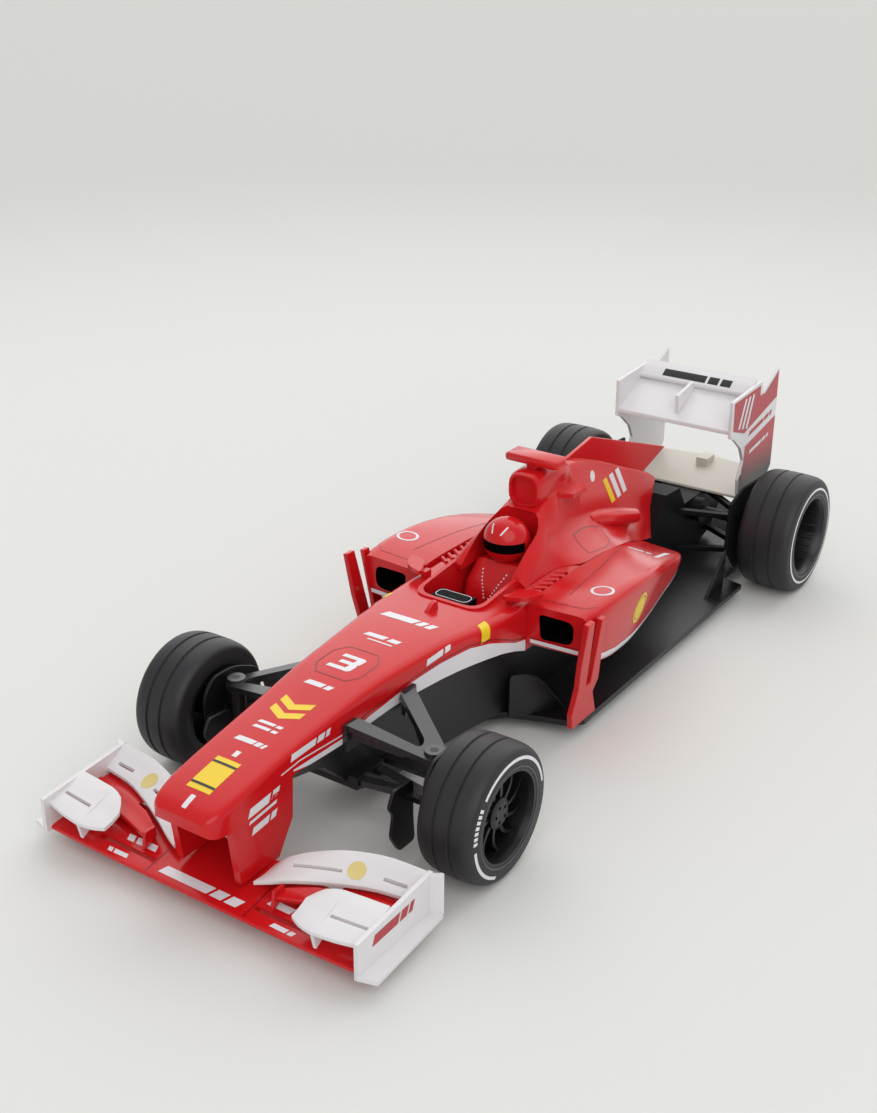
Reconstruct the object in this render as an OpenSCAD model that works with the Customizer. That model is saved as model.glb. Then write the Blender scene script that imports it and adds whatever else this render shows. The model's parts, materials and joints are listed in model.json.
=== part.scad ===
// Toy open-wheel racing car: moulded shell, wings, steering and four turning wheels.
// Millimetres. +X forward, +Y to the car's left, +Z up, origin on the ground under the middle.

/* [Overall] */
// Distance between the axles
wheelbase = 275; // [255:1:295]
// Front axle to the nose tip
front_overhang = 78; // [77:0.5:88]
// Rear axle to the last edge of the rear wing
rear_overhang = 45; // [43:1:60]
// Floor underside above the ground
ground_gap = 5; // [3:0.5:7]

/* [Front wheels] */
// Tyre radius
front_tyre_r = 25.2; // [24:0.1:26.5]
// Tyre width
front_tyre_w = 22.6; // [19:0.1:24]
// Width over the outer faces of the front tyres
front_track = 150.6; // [148:0.2:156]
// Radius of the bead seat between tyre and rim
front_seat_r = 17; // [15:0.1:18]
// Number of spokes in a front rim
spoke_count = 10; // [6:1:14]

/* [Rear wheels] */
// Tyre radius
rear_tyre_r = 28.1; // [26.5:0.1:30]
// Tyre width
rear_tyre_w = 26.4; // [22:0.1:27]
// Width over the outer faces of the rear tyres
rear_track = 142; // [141:0.2:150]
// Radius of the bead seat between tyre and rim
rear_seat_r = 19; // [17:0.1:20]

/* [Steering] */
// Tyre inner face to the kingpin axis
kingpin_gap = 8.2; // [7.5:0.1:10]
// Kingpin diameter
kingpin_d = 2.9; // [2.4:0.1:3.2]
// Stub axle diameter
stub_d = 4; // [3:0.1:5]
// Length of the steering arm, axle to tie bar
steer_arm = 14; // [12:0.5:16]
// Gap between pieces that turn on each other
turn_gap = 0.3; // [0.2:0.05:0.5]
// Radial gap of a shaft in its bore
shaft_gap = 0.05; // [0.02:0.01:0.1]
// Half shaft diameter of the rear wheels
half_shaft_d = 5; // [4:0.1:6]

/* [Body] */
// Half width of the monocoque beside the cockpit
tub_half = 26; // [24:0.5:28]
// Height of the monocoque top at the cockpit
deck_z = 54.5; // [52:0.5:57]
// Shell seam height at the front bulkhead
seam_front_z = 40.5; // [39:0.5:43]
// Shell seam height from the sidepods back
seam_rear_z = 34; // [32:0.5:36]
// Seam gap between neighbouring mouldings
seam_gap = 0.15; // [0.1:0.05:0.3]
// Half width of the cockpit opening
cockpit_half = 14; // [12.5:0.5:15]
// Depth of the cockpit below the deck
cockpit_depth = 17; // [14:0.5:19]
// Helmet radius
helmet_r = 9.7; // [9:0.1:10.5]
// Depth of a sidepod intake
intake_depth = 16; // [8:1:24]

/* [Floor] */
// Half width of the floor
floor_half = 50; // [47:0.5:53]
// Floor thickness
floor_t = 2.5; // [2:0.1:3.5]
// Diameter of the two display screw holes
screw_d = 3; // [2:0.1:4]

/* [Wings] */
// Front endplate outer face from the middle
front_plate_y = 68.9; // [66:0.1:71]
// Thickness of the endplates
plate_t = 1.6; // [1.2:0.1:2.2]
// Rear endplate outer face from the middle
rear_plate_y = 30.7; // [29:0.1:33]
// Height of the rear wing's tips
rear_wing_z = 93; // [91:0.5:97]

/* [Hidden] */
$fn = 48;

// Colours
red = "#c8161d";
white = "#eceaea";
black = "#1b1c1f";
rubber = "#2b2b2e";
cream = "#dcd8cc";

// Stations along the car
total_len = front_overhang + wheelbase + rear_overhang;
fx = total_len / 2 - front_overhang;
rx = fx - wheelbase;
nose_tip_x = fx + front_overhang;
nose_step_x = fx + 38;
cockpit_front_x = fx - 73;
pod_x = fx - 90;
collar_x = fx - 101;
cockpit_rear_x = fx - 127;
deck_end_x = fx - 138;
cover_end_x = rx + 22;
// Station s behind the front axle, stretched with the wheelbase from the cockpit to the tail
function tail(s) = deck_end_x - (s - 138) * (deck_end_x - cover_end_x) / 115;
tub_end_x = tail(208);
fin_rear_x = tail(237);

// Heights and widths set by the wheels
floor_top = ground_gap + floor_t;
front_axle_z = front_tyre_r;
rear_axle_z = rear_tyre_r;
front_inner_y = front_track / 2 - front_tyre_w;
rear_inner_y = rear_track / 2 - rear_tyre_w;
kp_y = front_inner_y - kingpin_gap;
floor_rear_half = rear_inner_y - 5.6;
arm_t = 2.5;
lower_z = front_axle_z - 5.7;
upper_z = front_axle_z + 11.6;
root_z = front_axle_z + 20.6;
beam_z = rear_axle_z + 6.4;
tie_x = fx - steer_arm;

// Small helpers
function unit(v) = v / norm(v);
function mirror_y(points) = [for (i = [len(points) - 1:-1:0]) [points[i][0], -points[i][1]]];

// Shape-preserving curve through the rows of a table; the first column is the position
function slope(t, i, c) = (t[i + 1][c] - t[i][c]) / (t[i + 1][0] - t[i][0]);
function mean_slope(a, b) = a * b <= 0 ? 0 : 2 * a * b / (a + b);
function tangent(t, i, c) =
    i == 0 ? slope(t, 0, c) :
    i == len(t) - 1 ? slope(t, i - 1, c) :
    mean_slope(slope(t, i - 1, c), slope(t, i, c));
function hermite(t, i, u, c) =
    let (h = t[i + 1][0] - t[i][0])
    (2 * u * u * u - 3 * u * u + 1) * t[i][c]
    + (u * u * u - 2 * u * u + u) * h * tangent(t, i, c)
    + (3 * u * u - 2 * u * u * u) * t[i + 1][c]
    + (u * u * u - u * u) * h * tangent(t, i + 1, c);
function smooth_rows(t, n) = [
    for (i = [0:len(t) - 2], k = [0:n - 1])
        [for (c = [0:len(t[0]) - 1])
            c == 0 ? t[i][0] + (t[i + 1][0] - t[i][0]) * k / n : hermite(t, i, k / n, c)],
    t[len(t) - 1]
];
// Value of column c at position x on the smooth curve
function passed(t, x, i) = (t[i][0] - x) * (t[i][0] - t[i + 1][0]) >= 0;
function span_of(t, x) = max([0, for (i = [0:len(t) - 2]) if (passed(t, x, i)) i]);
function value_at(t, x, c) =
    let (i = min(span_of(t, x), len(t) - 2))
    hermite(t, i, (x - t[i][0]) / (t[i + 1][0] - t[i][0]), c);

// Closed outline from corners [a, b] or [a, b, setback]; a corner with a setback is blended by a curve
function blend(p, v, q, e, n) =
    let (a = v + unit(p - v) * e, b = v + unit(q - v) * e)
    [for (k = [0:n]) let (t = k / n) (1 - t) * (1 - t) * a + 2 * t * (1 - t) * v + t * t * b];
function flat(c) = [c[0], c[1]];
function ring(corners, n = 4) = [
    for (i = [0:len(corners) - 1])
        let (m = len(corners), v = flat(corners[i]),
             p = flat(corners[(i + m - 1) % m]), q = flat(corners[(i + 1) % m]))
        each len(corners[i]) < 3 || corners[i][2] <= 0 ? [v] : blend(p, v, q, corners[i][2], n)
];

// Skin through rings [position, outline]; positions fall from first to last.
// Along x an outline is [y, z], along y it is [x, z].
module loft(rings, along = "x") {
    n = len(rings[0][1]);
    m = len(rings);
    points = [for (r = rings, p = r[1]) along == "x" ? [r[0], p[0], p[1]] : [p[0], r[0], p[1]]];
    sides = [for (i = [0:m - 2], k = [0:n - 1])
        let (a = i * n + k, b = i * n + (k + 1) % n, c = b + n, d = a + n)
        each [[a, b, c], [a, c, d]]];
    front_cap = [[for (k = [n - 1:-1:0]) k]];
    rear_cap = [[for (k = [0:n - 1]) (m - 1) * n + k]];
    faces = concat(sides, front_cap, rear_cap);
    turned = [for (f = faces) [for (k = [len(f) - 1:-1:0]) f[k]]];
    polyhedron(points, along == "x" ? faces : turned, convexity = 6);
}
// Plate with an [x, z] outline between two y positions
module side_plate(outline, y0, y1) {
    translate([0, max(y0, y1), 0])
        rotate([90, 0, 0])
            linear_extrude(height = abs(y1 - y0)) polygon(outline);
}
// Round bar along Y between two y positions
module y_rod(r, y0, y1) {
    translate([0, min(y0, y1), 0])
        rotate([-90, 0, 0])
            cylinder(r = r, h = abs(y1 - y0));
}
// Straight bar of square-cut section between two [x, y] points, from z0 up
module bar(p, q, w, z0, h) {
    d = q - p;
    translate([p[0], p[1], z0])
        rotate([0, 0, atan2(d[1], d[0])])
            translate([0, -w / 2, 0]) cube([norm(d), w, h]);
}
// Copies its child to the left (side 1) or the right (side -1)
module on_side(side) {
    if (side > 0) children();
    else mirror([0, 1, 0]) children();
}

// Nose and monocoque shell.
// Columns: x, half width, top height, crown, edge blend
nose_rows = [
    [nose_tip_x, 9.5, 40.4, 0.3, 1.6],
    [nose_tip_x - 1.4, 11.8, 41.6, 0.4, 2.2],
    [nose_tip_x - 5, 13.4, 43.2, 0.5, 2.8],
    [nose_tip_x - 14, 14.4, 45.6, 0.6, 3],
    [nose_step_x, 14.9, 50, 0.6, 3],
    [fx + 20, 15.6, 52.3, 0.6, 3],
    [fx - 10, 17.4, 55.6, 0.6, 3.2],
    [fx - 40, 20.6, 56.2, 0.5, 3.6],
    [fx - 66, 24.6, 55.2, 0.2, 4],
    [pod_x, tub_half, deck_z, 0, 4],
    [deck_end_x, tub_half, deck_z, 0, 4]
];
// Underside heights ahead of the front bulkhead
// Columns: x, height
nose_under = [
    [nose_tip_x, 36.4], [nose_tip_x - 1.4, 35.2], [nose_tip_x - 5, 34.4], [nose_tip_x - 14, 34],
    [nose_step_x, seam_front_z]
];
// Seam between the red shell and the black tub
// Columns: x, height
seam_rows = [
    [nose_step_x, seam_front_z], [fx + 12, seam_front_z - 0.5], [fx - 3, seam_front_z + 1.2],
    [fx - 20, seam_front_z + 2.2], [fx - 39, seam_front_z + 2], [fx - 55, seam_front_z + 1.4],
    [fx - 76, (seam_front_z + seam_rear_z) / 2 + 1.6], [pod_x, seam_rear_z]
];
function seam_z(x) =
    x > nose_step_x ? value_at(nose_under, x, 1) :
    x > pod_x ? value_at(seam_rows, x, 1) :
    seam_rear_z;
function nose_ring(r) =
    let (w = r[1], zb = seam_z(r[0]))
    ring([[-w, zb, 0], [w, zb, 0], [w, r[2], r[4]], [0, r[2] + r[3], w / 3], [-w, r[2], r[4]]]);
function nose_half(x) = value_at(nose_rows, x, 1);

pillar_t = 2.8;
pillar_y = 11.4;
wing_deck_z = 12.4;
// Side view of a nose pillar, [x, z]
pillar_outline = [
    [fx + 69, 35.6], [fx + 66, wing_deck_z], [fx + 47, wing_deck_z], [fx + 39.4, 24], [fx + 38.4, 40.8],
    [fx + 56, 40.8]
];

// Gills on the deck beside the cockpit, along a line of [x, y] points
gill_count = 5;
gill_from = [fx - 105, tub_half - 3.2];
gill_to = [fx - 123, tub_half - 3.6];
gill_r = 0.9;
gill_len = 5;
module gills() {
    for (i = [0:gill_count - 1])
        let (p = gill_from + (gill_to - gill_from) * i / (gill_count - 1))
        translate([p[0], p[1], deck_z])
            rotate([0, 0, 35])
                translate([0, -gill_len / 2, 0])
                    rotate([-90, 0, 0])
                        cylinder(r = gill_r, h = gill_len);
}

module slot_prism(x0, x1, half, r, z0, z1) {
    translate([0, 0, z0])
        linear_extrude(height = z1 - z0)
            polygon(ring([[x0, -half, r], [x1, -half, r], [x1, half, r], [x0, half, r]], 6));
}
// Rail round the cockpit, rising from its front to the collar, and a stub ahead of it
lip_w = 1.6;
lip_outline = [
    [cockpit_front_x + lip_w, deck_z - 1], [cockpit_front_x + lip_w, deck_z + 1.2],
    [collar_x + seam_gap, deck_z + 4], [collar_x + seam_gap, deck_z - 1]
];
stub_outline = [[fx - 57, deck_z], [fx - 66, deck_z], [fx - 65.4, deck_z + 4], [fx - 62.4, deck_z + 4]];
stub_t = 1.8;
module cockpit_lip() {
    intersection() {
        slot_prism(cockpit_rear_x, cockpit_front_x + lip_w, cockpit_half + lip_w, 7, deck_z - 1, deck_z + 6);
        side_plate(lip_outline, -40, 40);
    }
}
module nose_shell() {
    color(red) difference() {
        union() {
            loft([for (r = smooth_rows(nose_rows, 3)) [r[0], nose_ring(r)]]);
            cockpit_lip();
            side_plate(stub_outline, -stub_t / 2, stub_t / 2);
            for (side = [1, -1])
                on_side(side) {
                    side_plate(pillar_outline, pillar_y, pillar_y + pillar_t);
                    gills();
                }
        }
        slot_prism(cockpit_rear_x, cockpit_front_x, cockpit_half, 7, deck_z - cockpit_depth, deck_z + 10);
    }
}

// Black lower tub under the shell.
// Columns: x, half width at the seam, half width at the foot, foot height
tub_rows = [
    [nose_step_x, 13.8, 11.6, 36.6],
    [fx + 21, 15, 12.4, 33],
    [fx, 16.2, 13, 13.4],
    [fx - 16, 17, 13.6, 9.6],
    [fx - 44, 19.8, 15, 8.2],
    [fx - 66, 23.6, 17, floor_top],
    [pod_x, tub_half, 21, floor_top],
    [tail(150), tub_half, 22, floor_top],
    [tail(180), 22, 20, floor_top],
    [tub_end_x, 15, 15, floor_top]
];
// The tub's stations are the shell's, so that both follow one seam, and then run on to the tail
tub_stations = concat(
    [for (r = smooth_rows(nose_rows, 3)) if (r[0] <= nose_step_x) r[0]],
    [for (s = [150, 165, 180, 194, 208]) tail(s)]);
function tub_ring(x) =
    let (top = value_at(tub_rows, x, 1), foot = value_at(tub_rows, x, 2), z0 = value_at(tub_rows, x, 3))
    [[-foot, z0], [foot, z0], [top, seam_z(x)], [-top, seam_z(x)]];
// Lugs that carry the lower arms
lug_front = fx + 8;
lug_rear = fx - 8;
lug_half = 17.4;
lug_h = 5;
tie_w = 7;
module chassis_tub() {
    color(black) difference() {
        union() {
            loft([for (x = tub_stations) [x, tub_ring(x)]]);
            translate([lug_rear, -lug_half, lower_z - 1])
                cube([lug_front - lug_rear, 2 * lug_half, lug_h]);
        }
        translate([tie_x - tie_w / 2 - turn_gap, -lug_half - 1, lower_z - turn_gap])
            cube([tie_w + 2 * turn_gap, 2 * lug_half + 2, arm_t + 2 * turn_gap]);
        screw_holes();
    }
}

// Floor outline of the left half, front to back, [x, y]
floor_side = [
    [fx - 60, 9], [fx - 64, 13], [fx - 76, 15], [fx - 84, floor_half - 28], [fx - 88.6, floor_half - 15.4],
    [fx - 92, floor_half - 4.5], [fx - 97, floor_half], [rx + 27, floor_half], [rx + 24, floor_rear_half],
    [rx - 24, floor_rear_half]
];
// Battery bay in the underside: [x0, x1, half width, depth]
bay = [fx - 175, fx - 110, 17, 1.6];
// Two screw holes that hold the car on its display base, on the centre line
screw_x = [fx - 98, tail(188)];
screw_r = screw_d / 2;
screw_depth = 8;
module screw_holes() {
    for (x = screw_x)
        translate([x, 0, ground_gap - 1]) cylinder(r = screw_r, h = screw_depth + 1);
}
// Upright fin ahead of each rear wheel, [x, z]
fin_y = floor_half - 8;
fin_wall = 1.4;
floor_fin = [[rx + 52, floor_top], [rx + 34, floor_top], [rx + 33, floor_top + 18]];
module floor_tray() {
    color(black) union() {
        difference() {
            translate([0, 0, ground_gap])
                linear_extrude(height = floor_t)
                    polygon(concat(floor_side, mirror_y(floor_side)));
            translate([bay[0], -bay[2], ground_gap - 1])
                cube([bay[1] - bay[0], 2 * bay[2], bay[3] + 1]);
            screw_holes();
        }
        for (side = [1, -1])
            on_side(side)
                side_plate(floor_fin, fin_y, fin_y + fin_wall);
    }
}
module battery_cover() {
    c = seam_gap;
    color(black)
        translate([bay[0] + c, -bay[2] + c, ground_gap])
            cube([bay[1] - bay[0] - 2 * c, 2 * (bay[2] - c), bay[3]]);
}

// Waist line where the engine cover meets the deck and the sidepods
// Columns: x, half width, height
waist_rows = [
    [collar_x, 18.6, deck_z + seam_gap], [fx - 124, 19, deck_z + seam_gap],
    [deck_end_x, tub_half, deck_z + seam_gap],
    [tail(160), tub_half, 52.6], [tail(180), 23, 47.4], [tail(204), 17.6, 38], [tail(228), 11, 29],
    [cover_end_x, 5, 22]
];
function waist_y(x) = value_at(waist_rows, x, 1);
function waist_z(x) = value_at(waist_rows, x, 2);

// Engine cover with the headrest collar at its front.
// Columns: x, knee half width, knee height, neck half width, neck height, top half width, top height
cover_rows = [
    [collar_x, 17.6, 55.8, 16.6, 56.4, 15, 56.8],
    [fx - 106, 17.6, 57.2, 16.4, 59, 14, 60.6],
    [fx - 115, 17.2, 58.6, 15.8, 62.6, 12, 67.6],
    [fx - 124, 17, 58.4, 14.6, 64, 9.6, 74],
    [fx - 131, 18, 57.6, 13, 64, 8.6, 77.4],
    [deck_end_x, 19, 57, 12, 64.4, 7.8, 81],
    [tail(160), 18, 55.4, 10.6, 62, 4.6, 86.4],
    [tail(184), 15, 49.4, 9, 56, 3.4, 80],
    [tail(210), 11.6, 41.4, 7.4, 48, 3.2, 69],
    [fin_rear_x, 7.4, 33, 5.4, 40, 3, 57.6],
    [cover_end_x, 4.8, 28, 4.2, 33, 2.8, 47.8]
];
function cover_ring(r) =
    let (y = waist_y(r[0]), z = waist_z(r[0]),
         e = min(3, r[5] * 0.6, (r[6] - r[4]) * 0.6), k = min(3, (r[4] - r[2]) * 0.4, (y - r[1]) * 0.8))
    ring([[-y, z, 0], [y, z, 0], [r[1], r[2], k], [r[3], r[4], k], [r[5], r[6], e],
        [-r[5], r[6], e], [-r[3], r[4], k], [-r[1], r[2], k]], 2);
// Airbox over the cover. Columns: x, half width, foot height, top height
airbox_rows = [
    [fx - 128, 6.8, 76.4, 89.8], [fx - 130, 7.5, 75.6, 90.6], [fx - 140, 7.8, 75, 90.8],
    [fx - 150, 7.2, 75, 90.2], [tail(161.5), 4, 75.4, 85.2]
];
function airbox_ring(r, s = 0) =
    let (w = r[1] - s, a = r[2] + s, b = r[3] - s)
    ring([[-w, a, w * 0.8], [w, a, w * 0.8], [w, b, w * 0.75], [-w, b, w * 0.75]], 5);
// Small ear on each side of the airbox, [x, y] outline
ear_z = 76;
ear_t = 2;
ear_outline = [[fx - 144, 6], [fx - 148, 12.5], [fx - 158, 13], [fx - 164, 3]];
// Recess in the airbox face: rim width, depth
intake_rim = 1.1;
intake_recess = 2;
// Exhaust bulge on each flank. Columns: x, centre y, centre height, radius
bulge_rows = [
    [tail(168), 9, 58.4, 3], [tail(180), 10.4, 55.6, 4.4], [tail(194), 11.4, 51.8, 4.3],
    [tail(206), 12.2, 48.4, 3.6]
];
pipe_r = 2.5;
pipe_depth = 4;
function disc(y, z, r) = [for (a = [0:22.5:337.5]) [y + r * cos(a), z + r * sin(a)]];
// The cover's rear edge slopes, [x, z] of its top and its foot
tail_top = [tail(247), 55];
tail_foot = [tail(225), 24];
function tail_x(z) =
    tail_foot[0] + (tail_top[0] - tail_foot[0]) * (z - tail_foot[1]) / (tail_top[1] - tail_foot[1]);
module engine_cover() {
    mouth = airbox_rows[0];
    pipe = bulge_rows[3];
    behind = cover_end_x - 5;
    color(red) difference() {
        union() {
            loft([for (r = smooth_rows(cover_rows, 3)) [r[0], cover_ring(r)]]);
            loft([for (r = smooth_rows(airbox_rows, 2)) [r[0], airbox_ring(r)]]);
            for (side = [1, -1])
                on_side(side) {
                    translate([0, 0, ear_z]) linear_extrude(height = ear_t) polygon(ear_outline);
                    loft([for (r = smooth_rows(bulge_rows, 3)) [r[0], disc(r[1], r[2], r[3])]]);
                }
        }
        for (side = [1, -1])
            on_side(side)
                loft([for (x = [pipe[0] + pipe_depth, pipe[0] - 1]) [x, disc(pipe[1], pipe[2], pipe_r)]]);
        side_plate([tail_top, tail_foot, [behind, tail_foot[1] - 9], [behind, tail_top[1] + 5]], -20, 20);
        loft([for (x = [mouth[0] + 1, mouth[0] - intake_recess]) [x, airbox_ring(mouth, intake_rim)]]);
        slot_prism(helmet_x - headrest_r, helmet_x + 40, headrest_r, headrest_r - 0.5,
            deck_z - 1, mouth[2] - 1);
    }
}
// Crossbar on a stalk over the airbox, its ends tapered
camera_x = fx - 137.4;
camera_half = 12.4;
camera_w = 10;
camera_t = 3.4;
camera_z = 92.8;
camera_end = 1.5;
function camera_ring(s) =
    let (h = camera_w / 2 * s, z0 = camera_z, z1 = camera_z + camera_t * s)
    ring([[camera_x - h, z0, 1], [camera_x + h, z0, 1], [camera_x + h, z1, 1], [camera_x - h, z1, 1]], 3);
module camera_bar() {
    foot_z = airbox_rows[2][3];
    inner = camera_half - camera_end;
    color(red) union() {
        translate([camera_x - 3.5, -2, foot_z]) cube([7, 4, camera_z - foot_z + 0.5]);
        loft([[camera_half, camera_ring(0.7)], [inner, camera_ring(1)], [-inner, camera_ring(1)],
            [-camera_half, camera_ring(0.7)]], along = "y");
    }
}
// Fin on the spine: its foot follows the stations of the engine cover
fin_t = 1.6;
fin_front_x = tail(160);
module shark_fin() {
    foot = [for (r = smooth_rows(cover_rows, 3))
        if (r[0] <= fin_front_x && r[0] >= fin_rear_x) [r[0], r[6]]];
    color(red)
        side_plate(concat(foot, [[tail(258), 63.5], [tail(184), 90]]), -fin_t / 2, fin_t / 2);
}

// Driver in the cockpit
helmet_x = fx - 116.4;
neck_z = deck_z + 3.1;
helmet_z = neck_z + 0.825 * helmet_r;
visor_depth = 1.1;
headrest_r = helmet_r + 2.2;
module visor_window() {
    translate([helmet_x + 1.5, -helmet_r, helmet_z - 2.6])
        cube([helmet_r + 2, 2 * helmet_r, 4.2]);
}
module helmet() {
    color(red) difference() {
        translate([helmet_x, 0, helmet_z]) sphere(r = helmet_r);
        translate([helmet_x - 15, -15, neck_z - 10]) cube([30, 30, 10]);
        difference() {
            visor_window();
            translate([helmet_x, 0, helmet_z]) sphere(r = helmet_r - visor_depth);
        }
    }
}
module visor() {
    color(black) difference() {
        intersection() {
            translate([helmet_x, 0, helmet_z]) sphere(r = helmet_r);
            visor_window();
        }
        translate([helmet_x, 0, helmet_z]) sphere(r = helmet_r - visor_depth);
    }
}
// Driver's chest. Columns: x, half width, top height
torso_rows = [
    [fx - 101, 10.5, deck_z - 10], [fx - 104.6, 12, deck_z - 3.5], [fx - 111, 11.5, neck_z],
    [fx - 120, 10, neck_z]
];
module driver_torso() {
    foot = deck_z - cockpit_depth;
    color(red)
        loft([for (r = torso_rows)
            [r[0], ring([[-r[1], foot, 0], [r[1], foot, 0], [r[1], r[2], 4], [-r[1], r[2], 4]])]]);
}
dash_half = 8.5;
dash_w = 7.6;
module dash_panel() {
    foot = seam_z(cockpit_front_x);
    color(black)
        translate([cockpit_front_x - dash_w - 1, -dash_half, foot])
            cube([dash_w, 2 * dash_half, deck_z + 1 - foot]);
}

// Sidepod; widths are counted from the floor's edge.
// Columns: x, inner top height, shoulder y, its height, lower edge y, its height, inner foot height
pod_rows = [
    [pod_x, 54.4, 3.6, 55.6, 0.4, 38.6, 37.6],
    [fx - 97, 55, 4.6, 56.8, 1, 34.6, 33.4],
    [fx - 108, 55.4, 5, 57.4, 0.4, 29, 28.4],
    [fx - 120, 55.2, 4.8, 57.2, -0.4, 26.4, 26],
    [fx - 136, 54.7, 4, 55.6, -1.6, 25.6, 25],
    [tail(156), 53.2, 1.4, 51.8, -4.2, 26.4, 25],
    [tail(176), 48.6, -3.4, 46, -7.6, 27.6, 26],
    [tail(193), 42.2, -7.4, 40.6, -10.4, 28.6, 27],
    [tail(204), 38, -11.6, 36.8, -13.4, 29.6, 28.4],
    [tail(208), 36, -16.4, 35, -17.4, 31, 30]
];
function pod_inner(x) = min(waist_y(min(x, deck_end_x)), tub_half) + seam_gap;
function pod_ring(r) =
    let (y = pod_inner(r[0]), e = min(5, (r[3] - r[5]) * 0.4))
    ring([[y, r[6], 0], [floor_half + r[4], r[5], 1.2], [floor_half + r[2], r[3], e], [y, r[1], 0]]);
// Mouth of the intake, as distances from the inner wall and the pod's edges
mouth_in = 5.4;
mouth_out = 6.6;
mouth_foot = 3.4;
mouth_top = 3.8;
module sidepod(side) {
    front = pod_rows[0];
    y0 = pod_inner(pod_x) + mouth_in;
    y1 = floor_half + front[4] - mouth_out / 2;
    y2 = floor_half + front[2] - mouth_out;
    mouth = ring([[y0 + 1, front[6] + mouth_foot, 2], [y1, front[5] + mouth_foot, 4],
        [y2, front[3] - mouth_top, 3.4], [y0, front[1] - mouth_top + 1, 2]]);
    color(red) on_side(side) difference() {
        loft([for (r = smooth_rows(pod_rows, 3)) [r[0], pod_ring(r)]]);
        loft([[pod_x + 1, mouth], [pod_x - intake_depth, mouth]]);
    }
}

// Forked post from the floor to the front corner of a sidepod
post_x = fx - 82;
post_foot_y = floor_half - 2.4;
post_top_y = floor_half + 5.6;
post_top_z = 58;
post_t = 2.4;
module pod_post(side) {
    z0 = floor_top;
    z1 = post_top_z;
    x = post_x;
    lean = (post_top_y - post_foot_y) / (z1 - z0);
    outline = [
        [x - 5, z0], [x - 24, z0], [x - 17, z0 + 13], [x - 19.6, z0 + 18], [x - 17.6, z0 + 30],
        [x - 14.6, z1 - 2], [x - 11, z1 - 2], [x - 12.8, z0 + 19], [x - 9.4, z0 + 19], [x - 5, z1], [x, z1],
        [x - 1, z0 + 32], [x - 3, z0 + 20], [x - 2, z0 + 8]
    ];
    color(red) on_side(side)
        difference() {
            translate([0, post_foot_y, z0])
                rotate([-atan(lean), 0, 0])
                    translate([0, 0, -z0])
                        side_plate(outline, 0, post_t);
            translate([x - 30, post_foot_y - 5, z0 - 5]) cube([40, 15, 5]);
        }
}
// Leaf-shaped mirror on a short stalk beside the cockpit
mirror_x = fx - 88;
mirror_z = deck_z + 2.8;
mirror_y0 = tub_half - 7;
module mirror_pod(side) {
    y = mirror_y0;
    leaf = ring([[mirror_x + 6, y, 2], [mirror_x + 3, y + 9, 4], [mirror_x - 6, y + 13, 2],
        [mirror_x - 6, y + 5, 5]]);
    color(red) on_side(side) union() {
        translate([mirror_x - 2, y, deck_z + seam_gap]) cube([4, 2.4, mirror_z - deck_z]);
        translate([0, 0, mirror_z]) linear_extrude(height = 1.8) polygon(leaf);
    }
}
// Turning vane ahead of the floor, tall at its front end, with a curved top edge
vane_from = [fx - 81, tub_half - 2];
vane_to = [fx - 101, tub_half + 12];
vane_h = 19;
vane_t = 1.4;
module bargeboard(side) {
    d = vane_to - vane_from;
    l = norm(d);
    color(black) on_side(side)
        translate([vane_from[0], vane_from[1], floor_top])
            rotate([90, 0, atan2(d[1], d[0])])
                linear_extrude(height = vane_t)
                    polygon(ring([[0, 0, 0], [0, vane_h, 2], [0.45 * l, vane_h, 8], [l, 0, 0]], 6));
}

// Front wing main plane. Columns: y, leading edge x, its height, trailing edge x, its height
front_span = front_plate_y - plate_t;
main_rows = [
    [front_span, fx + 73.8, 6.4, fx + 46, 9], [0.83 * front_span, fx + 74.2, 6.4, fx + 49, 9.4],
    [0.5 * front_span, fx + 74.8, 6.6, fx + 51, 10], [0.24 * front_span, fx + 75, 6.8, fx + 49, 10]
];
wing_t = 2.4;
function main_ring(r) =
    let (t = wing_t, nose = r[1] - 7)
    ring([[r[1], r[2], 0.5], [r[1], r[2] + 0.6 * t, 0.8], [nose, r[2] + t, 1.5],
        [r[3], r[4] + t, 0], [r[3], r[4], 0], [nose, r[2] - 0.3, 1.5]], 2);
function both_halves(rows) = concat(rows, [for (i = [len(rows) - 1:-1:0])
    [for (c = [0:len(rows[i]) - 1]) c == 0 ? -rows[i][0] : rows[i][c]]]);
// Long slot in each half of the main plane, [x, y] of its ends
slot_w = 1.8;
main_slot = [[fx + 69, 0.33 * front_span], [fx + 68.6, 0.71 * front_span]];
module front_wing_main() {
    color(red) difference() {
        loft([for (r = both_halves(smooth_rows(main_rows, 3))) [r[0], main_ring(r)]], along = "y");
        for (side = [1, -1])
            on_side(side) bar(main_slot[0], main_slot[1], slot_w, 0, 30);
    }
}
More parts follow.
